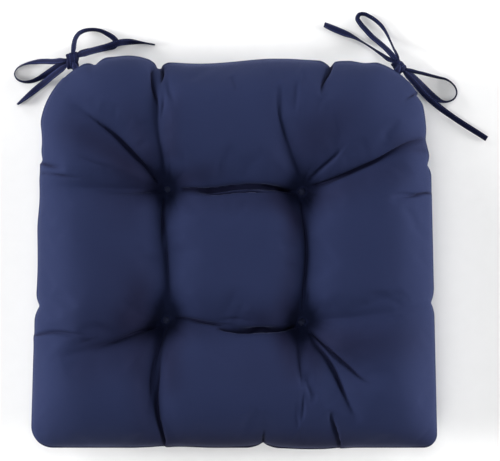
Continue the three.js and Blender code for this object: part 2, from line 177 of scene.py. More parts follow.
# Each row is x, y, lift, roll, in millimetres and degrees
TAPES = {
    "left_back": {
        "lead": [(-187.8, 216.6, 48.6, 0), (-189.3, 219.7, 46, 0), (-190.3, 222.2, 41.6, 0)],
        "loop": [
            (-192.7, 237.8, 37, 30), (-191.5, 245.5, 33, 45), (-190.6, 252, 24, 52),
            (-188.6, 258, 14, 56), (-184.5, 263, 6, 58), (-178, 266, 1.5, 60),
            (-170, 267, 0.4, 62), (-161, 265.8, 0.4, 60), (-152, 261.7, 0.4, 50),
            (-145, 257, 0.4, 42), (-141, 252, 0.4, 40), (-144, 247.6, 0.4, 24),
            (-151, 246, 0.4, 12), (-162, 243.5, 0.4, 8), (-170, 241.5, 7, 8),
            (-177, 239.8, 17, 8), (-183, 237.6, 26, 8), (-187, 235.4, 33.2, 8),
        ],
        "tail": [
            (-200, 223.6, 35.2, 10), (-206, 219.3, 31, 12), (-213, 214.4, 22.5, 12),
            (-220, 209.3, 12, 12), (-228, 203, 3.6, 12), (-237, 196, 0.6, 20),
            (-249, 186, 0.4, 46), (-260, 177, 0.4, 76),
        ],
    },
    "left_out": {
        "lead": [(-187.9, 217, 50.6, 0), (-189.7, 221.2, 48.6, 0), (-190.9, 224.8, 43.6, 0)],
        "loop": [
            (-201.8, 229.3, 36.5, 15), (-209, 228.6, 32, 30), (-217, 228, 24, 36),
            (-226, 228.5, 14, 36), (-236, 228.3, 5, 45), (-244, 227.2, 1, 62),
            (-252, 225, 0.4, 76), (-259, 221, 0.4, 84), (-263, 214.5, 0.4, 86),
            (-260.5, 208, 0.4, 84), (-254, 204.6, 0.4, 78), (-245, 204.5, 0.4, 66),
            (-236, 207.5, 0.4, 52), (-228, 212, 2, 38), (-219, 217.6, 10, 26),
            (-210, 222.8, 21, 18), (-201.4, 226.2, 31.4, 10),
        ],
        "tail": [
            (-186.1, 234.3, 38, 6), (-180, 237.2, 32.5, 6), (-174, 239.6, 24.5, 6),
            (-166, 242.2, 14.5, 6), (-158, 244.6, 8, 6), (-150, 247, 6.6, 8),
            (-143.5, 249.4, 7.4, 8), (-138, 251, 7.2, 10), (-131, 252, 4.4, 16),
            (-124, 252.3, 1.6, 34), (-116, 251.8, 0.4, 60), (-108, 251, 0.4, 78),
            (-95, 249, 0.4, 86),
        ],
    },
    "right_back": {
        "lead": [(192.2, 213.4, 48.8, 0), (194.3, 216.3, 47.4, 0), (195.8, 218.8, 44, 0)],
        "loop": [
            (192.7, 230.7, 36.4, 20), (187.6, 236.8, 32.6, 34), (180.8, 244.2, 24, 40),
            (172.8, 251.6, 14, 40), (165, 258.6, 5.6, 40), (158, 266.4, 1, 42),
            (151, 274.5, 0.4, 44), (147.8, 280.5, 0.4, 50), (150, 285, 0.4, 58),
            (156, 285.6, 0.4, 60), (163, 282.4, 0.4, 60), (170, 277.7, 0.4, 60),
            (177, 271, 0.4, 62), (183, 262, 0.4, 72), (187.6, 252.4, 4, 80),
            (191, 244, 13, 80), (193.8, 237.6, 23, 74), (196, 231.8, 30.4, 60),
        ],
        "tail": [
            (203.2, 215.7, 38, 6), (208.5, 210.6, 33.6, 8), (214, 205, 27, 10),
            (220, 198.6, 19, 12), (226, 191.8, 13, 12), (233, 184.8, 9.4, 12),
            (240.5, 178.2, 7.4, 16), (249, 171.6, 3, 26), (258, 165.2, 0.5, 34),
            (273, 155, 0.4, 36), (288, 145.6, 0.4, 38), (303, 136, 0.4, 42),
        ],
    },
    "right_out": {
        "lead": [(192.6, 213.9, 50.6, 0), (194.8, 217.1, 50, 0), (196.4, 220.2, 46.8, 0)],
        "loop": [
            (205, 218.5, 35.2, 24), (210.4, 217, 30, 50), (217, 215.6, 23, 64),
            (226, 214, 14, 66), (236, 211.6, 5, 68), (245, 209.5, 0.8, 72),
            (254, 207.4, 0.4, 78), (261, 203, 0.4, 84), (266, 196.5, 0.4, 86),
            (267, 190, 0.4, 86), (264, 184, 0.4, 84), (258, 180.8, 0.4, 80),
            (250, 180.6, 0.4, 66), (242.8, 184, 0.4, 36), (236, 189.4, 0.4, 18),
            (229, 196, 2.4, 14), (222, 202.6, 9, 14), (214.6, 209.2, 18.4, 12),
            (203.9, 216.5, 31.6, 8),
        ],
        "tail": [
            (190.6, 227.9, 30.6, 20), (184.2, 231.4, 23, 46), (175.2, 237.8, 13, 64),
            (165, 244.8, 5, 76), (155, 251.2, 1, 78), (144, 257.6, 0.4, 60),
            (131, 263.2, 0.4, 20), (119, 268.2, 0.4, 18), (108, 273, 0.4, 44),
        ],
    },
}
print("tapes:", ", ".join(TAPES))


# %% A strip of tape along a route
FLOOR_GAP = 0.3
TAPE_STEP = 1.6
# Share of its width that a tape keeps inside the knot, and how far from it this ends
GATHERED_WIDTH = 0.35
GRIP = (4, 18)
BULGE = 0.45
# Distance of each line of stitches from the middle, as a share of the width
STITCH_LINE = 0.33
GROOVE_WIDTH = 0.5
GROOVE_SHARE = 0.35


def smooth_path(rows, step):
    """Points on a curve through all the rows, about a step apart: between two rows the curve
    is a cubic, and its slope at a row is a mean of those of the two chords that meet there,
    with more weight on the shorter one."""
    rows = np.asarray(rows, float)
    chord = np.linalg.norm(np.diff(rows[:, :3], axis=0), axis=1)
    knots = np.concatenate([[0], np.cumsum(chord)])
    slopes = np.gradient(rows, knots, axis=0)
    where = np.linspace(0, knots[-1], int(round(knots[-1] / step)) + 1)
    i = np.clip(np.searchsorted(knots, where, side="right") - 1, 0, len(rows) - 2)
    span = chord[i][:, None]
    t = ((where - knots[i]) / chord[i])[:, None]
    return (
        (1 + 2 * t) * (1 - t) ** 2 * rows[i]
        + t * (1 - t) ** 2 * span * slopes[i]
        + t * t * (3 - 2 * t) * rows[i + 1]
        + t * t * (t - 1) * span * slopes[i + 1]
    )


def tape_half_height(roll):
    """Half of the height that a tape takes up when it is rolled from flat towards its edge."""
    return (TAPE_WIDTH * np.abs(np.sin(roll)) + TAPE_THICKNESS * np.abs(np.cos(roll))) / 2


def squared_off(wave, power):
    """A sine or cosine whose size is raised to a power below 1, which keeps it longer near 1
    and -1. One of each goes around a rectangle with round corners."""
    return np.sign(wave) * np.abs(wave) ** power


def tape_section():
    """The outline of a tape cut across: flat faces, round edges, and a shallow groove near
    each edge where the folded cloth is stitched. The y and z of 28 points around it."""
    turn = np.linspace(0, 2 * np.pi, 28, endpoint=False)
    y = squared_off(np.cos(turn), 0.55) * TAPE_WIDTH / 2
    z = squared_off(np.sin(turn), 0.45) * TAPE_THICKNESS / 2
    groove = np.exp(-((np.abs(y) - STITCH_LINE * TAPE_WIDTH) / GROOVE_WIDTH) ** 2)
    return y, z * (1 - GROOVE_SHARE * groove)


def tape_strip(rows, grip):
    """A tape's section carried along its route. The section's side is level, turned by the
    roll about the route, and it narrows where the route passes the knot that grips it. Its
    middle is bowed upwards as a parabola."""
    path = smooth_path(rows, TAPE_STEP)
    roll = np.radians(path[:, 3])
    centre = path[:, :3].copy()
    centre[:, 2] = np.maximum(centre[:, 2], tape_half_height(roll) + FLOOR_GAP)
    tangent, side, face = line_frame(centre)
    across = side * np.cos(roll)[:, None] + face * np.sin(roll)[:, None]
    free = smoothstep(np.linalg.norm(centre - grip, axis=1), *GRIP)[:, None]
    y, z = tape_section()
    z = z + BULGE * (1 - (y / (TAPE_WIDTH / 2)) ** 2)
    width = GATHERED_WIDTH + (1 - GATHERED_WIDTH) * free
    run = np.concatenate([[0], np.cumsum(np.linalg.norm(np.diff(centre, axis=0), axis=1))])
    return centre, tube(centre, across, np.cross(tangent, across), width * y, z, run[:, None], y)


# %% Make the tapes
RUN_NODES = {
    "back": ("lead_inner", "loop_back", "tail_out"),
    "out": ("lead_outer", "loop_out", "tail_back"),
}
ROLL_IN_KNOT = 20
# Factor on the knot's x and y where a tape passes it first, a little further out
FIRST_PASS = 1.01
centre_lines = {}

for name, runs in TAPES.items():
    corner, way = name.split("_")
    x, y, z = KNOTS[corner]
    lead, loop, tail = (
        [(*row[:2], row[2] + tape_half_height(np.radians(row[3])), row[3]) for row in runs[part]]
        for part in ("lead", "loop", "tail")
    )
    first_pass = (FIRST_PASS * x, FIRST_PASS * y, z, ROLL_IN_KNOT)
    route = [*lead, first_pass, *loop, (x, y, z, ROLL_IN_KNOT), *tail]
    centre_lines[name], strip = tape_strip(route, np.array(KNOTS[corner]))
    tape = new_piece("tape_" + name, "tape", *strip)
    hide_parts(*(f"tie_{corner}_{run}" for run in RUN_NODES[way]))
    print(tape.name, "lowest point", round(strip[0][:, 2].min(), 2), "mm above the floor")

# %% [markdown]
# ## The knots
#
# In a bow the two tapes are wrapped around the middle and pulled tight. What shows is a short
# band of gathered tape across the bundle, with part of a second band beneath. A lump alone
# would look like a bead, so each knot is two closed bands at an angle to each other, and both
# are gathered into a few lengthwise ridges.

# %% A closed band of gathered tape
STEPS_AROUND = 48
STEPS_OF_SECTION = 26
BAND_THICKNESS = 0.75
RIDGE = 0.35
ARCH = 1.1
SWELLING = 0.1


def band(centre, heading, tilt, radii, width, ridges, start):
    """A closed ring of tape around an axis that lies level along the heading. Its section is
    an arch: across the tape the radius falls off as a parabola and is ridged by a cosine, and
    along the ring the width swells and shrinks a little as another cosine."""
    around = np.linspace(0, 2 * np.pi, STEPS_AROUND, endpoint=False)[:, None]
    turn = np.linspace(0, 2 * np.pi, STEPS_OF_SECTION, endpoint=False)[None, :]
    side, outer = squared_off(np.cos(turn), 0.6), squared_off(np.sin(turn), 0.5)
    half = width / 2 * (1 + SWELLING * np.cos(2 * around + start))
    gather = RIDGE * np.cos(np.pi * ridges * side + start + 0.5 * np.sin(around))
    lift = BAND_THICKNESS * outer + gather - ARCH * side**2
    along = half * side + tilt * np.cos(around) * radii[0]
    sideways = (radii[0] + lift) * np.cos(around)
    cosine, sine = np.cos(np.radians(heading)), np.sin(np.radians(heading))
    x = centre[0] + along * cosine - sideways * sine
    y = centre[1] + along * sine + sideways * cosine
    z = centre[2] + (radii[1] + lift) * np.sin(around)
    points = np.stack([x, y, z], axis=-1)
    uv = np.stack(np.broadcast_arrays(around * radii[0], half * side), axis=-1)
    faces = grid_faces(STEPS_AROUND, STEPS_OF_SECTION, closed=True, ring=True)
    return points.reshape(-1, 3), faces, uv.reshape(-1, 2)


def join(parts):
    """Several surfaces as one: their points one after another, with the corner numbers of
    each moved up by the points before it."""
    points, faces, uv = [], [], []
    for part_points, part_faces, part_uv in parts:
        faces += [[corner + len(points) for corner in face] for face in part_faces]
        points += list(part_points)
        uv += list(part_uv)
    return points, faces, uv


# %% Tie the two knots and print the tapes' lengths
# Each band is heading, tilt, radii, width, ridges and start
BANDS = {
    "left": [(14, 0.12, (9.0, 6.0), 13.5, 2.5, 0.6), (-26, -0.1, (8.0, 5.4), 12.5, 2.0, 2.2)],
    "right": [(-46, 0.1, (6.0, 5.6), 15.0, 2.5, 1.4), (-60, -0.14, (4.9, 4.8), 15.5, 2.0, 0.2)],
}
for corner, rows in BANDS.items():
    surface = join([band(KNOTS[corner], *row) for row in rows])
    knot = new_piece("knot_" + corner, "tape", *surface)
    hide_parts(f"tie_{corner}_knot")
    print(knot.name, "across", np.ptp(surface[0], axis=0).round(1).tolist(), "mm")
    for way in RUN_NODES:
        centre = centre_lines[f"{corner}_{way}"]
        length = float(np.linalg.norm(np.diff(centre, axis=0), axis=1).sum())
        print("   tape", way, "length", round(length), "mm")

# %% [markdown]
# ## The cushion in plan
#
# A chair cushion is two panels of cloth, sewn together all around and turned. This one is
# wide at the front and narrower at the back, with tight corners in front and wide round ones
# behind, and the stuffing pulls its seam in and out between them. The panels could be cut
# from a drawn curve, but a square grid is easier to dress: it is stretched over the four
# corner points, and its outer part is bent to the round corners and to the dents of the seam.

# %% Corners, sides and dents
HALF_WIDTH = 242.5
HALF_DEPTH = 233.5

# Where two straight sides would meet, x and y, and the radius that rounds them off
CORNERS = {
    "front_left": (-242.6, -233, 27),
    "front_right": (242.5, -233, 17),
    "back_right": (232, 229, 85),
    "back_left": (-229, 234, 89),
}
# Each side runs between two corners, and its cloth gives way inwards
SIDES = {
    "front": ("front_left", "front_right", (0, 1)),
    "right": ("front_right", "back_right", (-1, 0)),
    "back": ("back_left", "back_right", (0, -1)),
    "left": ("front_left", "back_left", (1, 0)),
}
# Side, place along it, depth, reach, and whether a fold pinches the seam there
DENTS = [
    ("back", -89, 14, 14, True), ("back", 115, 11, 14, True), ("back", -173, 7, 20, True),
    ("back", -45, 7, 95, False), ("back", 120, 2, 60, False), ("front", 34, 9, 19, True),
    ("front", -74, 1.5, 50, False), ("left", -64, 5, 17, True), ("left", -25, 2, 70, False),
    ("left", 112, 4, 12, True), ("left", 65, 2, 40, False), ("left", 130, 3, 34, False),
    ("right", 104, 4, 13, True), ("right", -60, 4, 17, True), ("right", 150, 4.7, 60, False),
    ("right", 197, 4, 14, True), ("back", -120, -2.5, 26, False), ("back", 158, 3, 22, False),
    ("front", 92, -1.8, 56, False),
]
# Share of the way from the middle to the rim where each begins
ROUNDING_FROM = 0.42
DENTS_FROM = 0.78
print(len(DENTS), "dents in the seam")


# %% From the square to the plan
def corner_shift(corner, along, inward, distance):
    """What bends a straight side into a corner's arc. A place at a distance q from the corner
    of radius R goes to the arc's angle of 45 (1 - q / R) degrees from its end."""
    radius = corner[2]
    turn = np.radians(45) * np.clip(1 - distance / radius, 0, 1)
    back = np.where(distance < radius, radius * (1 - np.sin(turn)) - distance, 0)
    sideways = radius * (1 - np.cos(turn))
    return back[..., None] * along + sideways[..., None] * np.array(inward)


def dent_depth(side, at):
    """How far the seam is drawn in at a place of a side: for each dent, its depth times
    (1 - t) squared where it is pinched and (1 - t^2) squared where it is soft, with t the
    distance as a share of its reach."""
    depth = np.zeros_like(at)
    for dent_side, place, deep, reach, pinched in DENTS:
        if dent_side == side:
            t = np.clip(np.abs(at - place) / reach, 0, 1)
            depth += deep * ((1 - t) ** 2 if pinched else (1 - t * t) ** 2)
    return depth


def relaxed(shift, rounds):
    """A shift whose rim is kept and whose inner points go to the mean of their four
    neighbours, over and over, so that no line of the grid kinks at a diagonal."""
    for _ in range(rounds):
        before_and_behind = shift[:-2, 1:-1] + shift[2:, 1:-1]
        shift[1:-1, 1:-1] = (before_and_behind + shift[1:-1, :-2] + shift[1:-1, 2:]) / 4
    return shift


def plan_points(across, along):
    """Places in plan: the blend of the four corner points, plus the shift of the rim's place
    in the same direction from the middle, which fades in towards the rim."""
    u, v = (across[..., None] + 1) / 2, (along[..., None] + 1) / 2
    front_left, front_right, back_right, back_left = (np.array(c[:2]) for c in CORNERS.values())
    plan = (1 - v) * ((1 - u) * front_left + u * front_right)
    plan = plan + v * ((1 - u) * back_left + u * back_right)
    ring = np.maximum(np.abs(across), np.abs(along))
    sideways = np.abs(across) >= np.abs(along)
    share = (np.where(sideways, along, across) / np.maximum(ring, 1e-9) + 1) / 2
    belongs = {
        "front": ~sideways & (along <= 0), "right": sideways & (across > 0),
        "back": ~sideways & (along > 0), "left": sideways & (across <= 0),
    }
    rounding, dents = np.zeros_like(plan), np.zeros_like(plan)
    for side, (start, end, inward) in SIDES.items():
        axis = 0 if inward[0] == 0 else 1
        start, end = CORNERS[start], CORNERS[end]
        run = np.subtract(end[:2], start[:2])
        length = np.linalg.norm(run)
        here = belongs[side][..., None]
        rounding += here * corner_shift(start, run / length, inward, share * length)
        rounding += here * corner_shift(end, -run / length, inward, (1 - share) * length)
        depth = dent_depth(side, start[axis] + share * run[axis])
        dents += here * depth[..., None] * np.array(inward)
    rounding *= smoothstep(ring, ROUNDING_FROM, 1)[..., None]
    dents *= smoothstep(ring, DENTS_FROM, 1)[..., None]
    return plan + relaxed(rounding + dents, len(across) // 4)


# %% The grid's lines
# Where the rows of tufts lie, from -1 to 1, and how far lines are drawn to them
TUFT_LINES = {"across": (-0.34, 0.34), "along": (-0.348, 0.32)}
BUNCHING = 0.6


def grid_lines(cells, tuft_lines):
    """Places from -1 to 1 of the grid's lines, in three stretches that end at the tuft lines.
    Within a stretch, even steps are blended with half a wave of a cosine, which draws the
    lines together at both ends of it, where the cloth bends most."""
    stops = (-1, *tuft_lines, 1)
    even = np.arange(cells) / cells
    drawn = even + BUNCHING * ((1 - np.cos(np.pi * even)) / 2 - even)
    stretches = [a + (b - a) * drawn for a, b in zip(stops[:-1], stops[1:])]
    return np.concatenate([*stretches, [1.0]])


def square(cells):
    """The grid as two arrays, across and along, with its rows running from front to back."""
    across = grid_lines(cells, TUFT_LINES["across"])
    along = grid_lines(cells, TUFT_LINES["along"])
    return np.broadcast_arrays(across[None, :], along[:, None])


outline = plan_points(*square(4))
print("plan in mm:", np.ptp(outline[..., 0]).round(1), "by", np.ptp(outline[..., 1]).round(1))

# %% [markdown]
# ## Hollows and folds
#
# Four stitches go right through the filling and pull the cover down into hollows. Between
# them, and from them to the edges, the cloth has nowhere to go but into folds. A simulation
# finds folds too, but not the ones that the photograph shows, so these are given one by one,
# in two steps. The wide dips give the round lobes their shape, and the fine creases at their
# bottom, where two lobes are pressed together, follow on a finer grid. Each is a short route
# with its depth at a few places, so that it can run out in the middle of a lobe as folds in
# real cloth do.

# %% Tufts and wide folds
TUFTS = {
    "back_left": (-79, 75),
    "back_right": (80.5, 72),
    "front_left": (-80.5, -80.5),
    "front_right": (80.5, -83),
}
HOLLOW_DEPTH = 38
HOLLOW_REACH = 58
HOLLOW_SHARPNESS = 2.0
BOWL = 24

# Depths at even steps along the route, reach to each side, then the route in x and y
FOLDS = {
    "across the back tufts": ((13, 20, 13), 58, [
        (-79, 75), (-35, 73.4), (10, 78.2), (52, 76), (80, 72)]),
    "across the front tufts": ((13, 20, 13), 58, [
        (-80, -80), (-35, -83), (-8, -88), (28, -92), (80, -84)]),
    "down the left tufts": ((13, 20, 18, 13, 9), 58, [
        (-79, 75), (-84, 40), (-81, 1), (-78, -41), (-80, -80)]),
    "down the right tufts": ((13, 20, 20, 15, 9), 58, [
        (80.5, 72), (83, 40), (86, 0), (83, -41), (80.5, -83)]),
    "back left tuft to the back edge": ((13, 8, 10, 26), 40, [
        (-79, 75), (-86, 124), (-91, 158), (-94, 200), (-91, 240)]),
    "back right tuft to the back edge": ((13, 6, 2), 38, [(80, 72), (67, 115), (56, 158), (53, 192)]),
    "right notch of the back edge": ((22, 10, 0), 26, [(117, 238), (110, 207), (102, 184)]),
    "back left tuft to its corner": ((17, 16, 10, 0), 46, [
        (-79, 75), (-108, 104), (-142, 139), (-190, 178)]),
    "back left tuft to the left edge": ((19, 20, 15, 8, 4), 46, [
        (-79, 75), (-130, 75), (-180, 77), (-236, 78)]),
    "left edge above": ((8, 5, 0), 24, [(-240, 110), (-212, 102), (-196, 98)]),
    "back right tuft to the right edge": ((22, 15, 12, 4), 44, [
        (80, 72), (122, 88), (168, 108), (222, 134)]),
    "beside it, nearer the back": ((12, 6, 0), 28, [(84, 78), (108, 103), (138, 135)]),
    "right edge above": ((8, 4, 0), 24, [(242, 116), (216, 119), (196, 121)]),
    "right edge below": ((8, 4, 0), 26, [(244, 68), (216, 66), (196, 66)]),
    "front left tuft to the left edge": ((27, 26, 20, 10, 0), 50, [
        (-81, -81), (-120, -98), (-163, -112), (-206, -124)]),
    "left edge below": ((8, 5, 0), 26, [(-244, -99), (-212, -95), (-176, -98)]),
    "front right tuft to the right edge": ((24, 13, 5, 4), 48, [
        (81, -83), (130, -78), (190, -70), (244, -62)]),
    "front left tuft to the front edge": ((24, 16, 12, 12), 44, [
        (-81, -82), (-91, -120), (-94, -160), (-89, -200), (-78, -240)]),
    "front right tuft to its corner": ((14, 12, 2), 32, [
        (81, -84), (103, -116), (126, -158), (143, -193)]),
    "beside it, nearer the right": ((12, 7, 0), 30, [
        (86, -84), (108, -112), (148, -147), (177, -164)]),
    "front edge, right of the middle": ((9, 5, 0), 24, [(126, -238), (118, -205), (112, -184)]),
    "front right tuft to the front edge": ((26, 15, 6, 0), 46, [(79, -86), (77, -122), (80, -162)]),
    "front notch": ((13, 4, 0), 26, [(34, -240), (35, -222), (35, -204)]),
}
FOLD_BLEND = 3.5
FOLD_EASE = 4
FOLD_STEEPNESS = 0.97
# Distance between the points of a smoothed route
WIDE_STEP = 6
print(len(FOLDS), "wide folds")


# %% Distances and dips
def nearest_on_route(route, points):
    """For each point, how it lies to a route of straight stretches: the offset from the
    nearest place, the share of the route's length there, and the route's direction. On each
    stretch the nearest place is the foot of the perpendicular, kept between its two ends."""
    runs = np.diff(route, axis=0)
    lengths = np.linalg.norm(runs, axis=1)
    before = np.concatenate([[0], np.cumsum(lengths)[:-1]])
    offset = points[:, None, :] - route[None, :-1, :]
    foot = np.clip((offset * runs).sum(axis=-1) / lengths**2, 0, 1)
    offset = offset - foot[..., None] * runs
    best = (offset**2).sum(axis=-1).argmin(axis=1)
    each = np.arange(len(points))
    share = (before[best] + foot[each, best] * lengths[best]) / lengths.sum()
    return offset[each, best], share, (runs / lengths[:, None])[best]


def beside(rows, points, step, reaches=0, margin=0):
    """For each row of a table of folds: the points in its route's box, grown by a number of
    reaches and a margin, and for these the offset from the route, its square, the route's
    direction, and the fold's depth there, between those given at even steps."""
    for depths, reach, *lean, route in rows:
        route = smooth_path(route, step)
        grown = reaches * reach + margin
        low, high = route.min(axis=0) - grown, route.max(axis=0) + grown
        near = ((points > low) & (points < high)).all(axis=-1)
        offset, share, heading = nearest_on_route(route, points[near])
        depth = np.interp(share, np.linspace(0, 1, len(depths)), depths)
        yield SimpleNamespace(
            near=near, offset=offset, squared=(offset**2).sum(axis=1), depth=depth,
            heading=heading, reach=reach, lean=lean[0] if lean else 0,
        )


def cleft(distance, reach):
    """Share of a fold's depth at a distance from its line: two quarter circles pressed
    together, 1 - sqrt(1 - steepness t^2), with t from 1 on the line to 0 at its reach and the
    distance eased as a hyperbola, so that the bottom is round."""
    eased = np.hypot(distance, FOLD_EASE) - FOLD_EASE
    t = 1 - np.minimum(eased / (reach - FOLD_EASE), 1)
    return 1 - np.sqrt(1 - FOLD_STEEPNESS * t * t)


def wide_dip(plan):
    """How far the cover dips in the wide folds and the hollows. Folds are summed as powers of
    FOLD_BLEND, so that the deeper one takes over where two meet. Each hollow adds its depth
    times a mean of a cone, (1 - r / reach) to the power of its sharpness, and a bowl around
    the stitch, exp(-(r / bowl)^2)."""
    points = plan.reshape(-1, 2)
    total = np.zeros(len(points))
    for fold in beside(FOLDS.values(), points, WIDE_STEP, reaches=1):
        distance = np.linalg.norm(fold.offset, axis=1)
        total[fold.near] += (fold.depth * cleft(distance, fold.reach)) ** FOLD_BLEND
    dip = total ** (1 / FOLD_BLEND)
    for tuft in TUFTS.values():
        distance = np.linalg.norm(points - tuft, axis=1)
        cone = (1 - np.minimum(distance / HOLLOW_REACH, 1)) ** HOLLOW_SHARPNESS
        dip += HOLLOW_DEPTH * (cone + np.exp(-((distance / BOWL) ** 2))) / 2
    return dip.reshape(plan.shape[:-1])


# %% [markdown]
# ## The swell of the cover
#
# From the knife-edge seam the cover swells up and down like half an ellipse, and then the
# hollows and folds cut it into nine lobes of slightly different heights. Underneath, the
# weight of the filling presses the lobes flat on what the cushion lies on. A subdivided box
# would swell as well, but it would round the sharp seam away, so each height is a formula.

# %% Heights of the two panels
SEAM_HEIGHT = 50
# Height, number and start of each wave of the seam, in millimetres and degrees
SEAM_WAVES = [(2.2, 3, 40), (1.2, 7, 110)]
# The seam's flat lip, and the width over which the cover curves up from it
LIP = 0.9
LIP_THICKNESS = 1.5
EDGE_ROUND = 74
CROWN_ABOVE = 57
CROWN_BELOW = 54
# Depth of the dips underneath, as a share of those above
UNDER_DEPTH = 0.85
# x, y and rise of the lobes that stand higher or lower than the plain crown
LOBES = [
    (0, -5, 1.5), (-18, 150, 2), (-20, -160, 3), (-160, -8, 1), (165, 8, 2),
    (-150, 190, -3), (-165, -170, 3), (185, -130, 1),
]
LOBE_REACH = 62


def swell(line, half):
    """Share of the full swell along one direction, sqrt(1 - x^2), where x goes from 0 inside
    to 1 at the root of the lip, over the width of the rounded edge."""
    x = 1 - ((1 - np.abs(line)) * half - LIP) / EDGE_ROUND
    return np.sqrt(1 - np.clip(x, 0, 1) ** 2)


def soft_floor(z, softness=1.2):
    """Heights kept above the surface: (z + sqrt(z^2 + s^2)) / 2, which is z well above it and
    nearly nothing below."""
    return (z + np.sqrt(z * z + softness**2)) / 2


def panel_heights(plan, full, way):
    """Heights of the upper panel, way 1, or the lower one, way -1: the seam's height, which
    waves around the rim as two sines, and the fullness times the crown without its dips."""
    x, y = plan[..., 0], plan[..., 1]
    around = np.arctan2(y, x)
    waves = sum(tall * np.sin(count * around + np.radians(start)) for tall, count, start in SEAM_WAVES)
    seam = SEAM_HEIGHT + (1 - full) * waves
    dip = wide_dip(plan)
    if way < 0:
        return soft_floor(seam - LIP_THICKNESS / 2 - full * (CROWN_BELOW - UNDER_DEPTH * dip))
    rise = sum(r * np.exp(-((x - cx) ** 2 + (y - cy) ** 2) / LOBE_REACH**2) for cx, cy, r in LOBES)
    return seam + LIP_THICKNESS / 2 + full * (CROWN_ABOVE + rise - dip)


def edge_gap(across, along):
    """Distance from the nearest side of the grid, in millimetres."""
    return np.minimum((1 - np.abs(across)) * HALF_WIDTH, (1 - np.abs(along)) * HALF_DEPTH)


def shell_faces(count):
    """Corner numbers of a closed shell of two panels, each a count x count grid: the upper
    one as it is, the lower one turned over, and a strip between their rims. Then the numbers
    of the rim's points."""
    upper = grid_faces(count, count)
    lower = upper[:, ::-1] + count * count
    numbers = np.arange(count * count).reshape(count, count)
    rim = np.concatenate([numbers[0, :-1], numbers[:-1, -1], numbers[-1, :0:-1], numbers[:0:-1, 0]])
    following = np.roll(rim, -1)
    strip = np.stack([rim, rim + count * count, following + count * count, following], axis=1)
    return np.concatenate([upper, lower, strip]), rim


# %% [markdown]
# ## Stuffing it
#
# So far the cover is stiff, like a plaster cast. A short cloth simulation lets it behave: the
# panels are made a little too large, and pressure inside puffs the lobes up against the held
# seam, stitches and folds, so that slack cloth gathers into wrinkles by itself. It runs on a
# coarse grid for 20 frames, and no point may move further than a few millimetres from the
# planned shape.

# %% Cloth under pressure
SIM_CELLS = 36
SIM_FRAMES = 20
MOVE_LIMIT = 7
# How firmly the bottom of a fold is held, and where
FOLD_HOLD = 0.9
HELD = {"reach": 4.5, "margin": 20, "shallow": 2, "deep": 10}
STITCH_HOLD = (6, 12)
# Share of the move that is taken back at the bottom of a fold, and where
FOLD_CALM = 0.9
CALM = {"reach": 16, "margin": 40, "shallow": 1, "deep": 8}
SEAM_CALM = (-10, 48)
CLOTH_SETTINGS = {
    "quality": 6,
    "mass": 0.3,
    "tension_stiffness": 20,
    "compression_stiffness": 12,
    "shear_stiffness": 6,
    "bending_stiffness": 0.6,
    "use_pressure": True,
    "uniform_pressure_force": 3.5,
    "shrink_min": -0.03,
    "vertex_group_mass": "held",
    "pin_stiffness": 12,
}


def in_folds(points, reach, margin, shallow, deep):
    """How far each point is in the bottom of a fold, 0 to 1: exp(-(d / reach)^2) of its
    distance d from the line, times a smooth step from a shallow to a deep fold."""
    inside = np.zeros(len(points))
    for fold in beside(FOLDS.values(), points, WIDE_STEP, margin=margin):
        share = smoothstep(fold.depth, shallow, deep) * np.exp(-fold.squared / reach**2)
        inside[fold.near] = np.maximum(inside[fold.near], share)
    return inside


def pin_weights(plan, across, along):
    """How firmly each point of a panel is held: the rim and the stitches fully, the bottoms
    of the folds partly."""
    points = plan.reshape(-1, 2)
    hold = FOLD_HOLD * in_folds(points, **HELD)
    for tuft in TUFTS.values():
        distance = np.linalg.norm(points - tuft, axis=1)
        hold = np.maximum(hold, 1 - smoothstep(distance, *STITCH_HOLD))
    hold[edge_gap(across, along).ravel() < 0.1] = 1
    return hold.round(1)


def stuff(points, faces, hold):
    """Blender's cloth with pressure: it returns how far each point has moved, with the length
    of a move m capped as limit tanh(m / limit)."""
    mesh = bpy.data.meshes.new("stuffing")
    mesh.from_pydata((points * MM).tolist(), [], faces.tolist())
    skin = bpy.data.objects.new("stuffing", mesh)
    bpy.context.collection.objects.link(skin)
    held = skin.vertex_groups.new(name="held")
    for weight in np.unique(hold[hold > 0]):
        held.add(np.flatnonzero(hold == weight).tolist(), float(weight), "REPLACE")
    cloth = skin.modifiers.new("cloth", "CLOTH").settings
    for setting, value in CLOTH_SETTINGS.items():
        setattr(cloth, setting, value)
    cloth.effector_weights.gravity = 0
    for frame_number in range(1, SIM_FRAMES + 1):
        bpy.context.scene.frame_set(frame_number)
    evaluated = skin.evaluated_get(bpy.context.evaluated_depsgraph_get())
    moved = np.empty(len(points) * 3, dtype=np.float32)
    evaluated.data.vertices.foreach_get("co", moved)
    bpy.data.objects.remove(skin)
    bpy.data.meshes.remove(mesh)
    bpy.context.scene.frame_set(1)
    move = moved.reshape(-1, 3) / MM - points
    size = np.linalg.norm(move, axis=1, keepdims=True)
    return move * (MOVE_LIMIT * np.tanh(size / MOVE_LIMIT) / np.maximum(size, 1e-6))


def kept_share(plan, across, along):
    """Share of the simulated move that is kept: little at the bottom of a fold, whose line is
    known from the photograph, and along the seam, and all of it on the lobes."""
    calm = in_folds(plan.reshape(-1, 2), **CALM).reshape(across.shape)
    return (1 - FOLD_CALM * calm) * smoothstep(edge_gap(across, along), *SEAM_CALM)


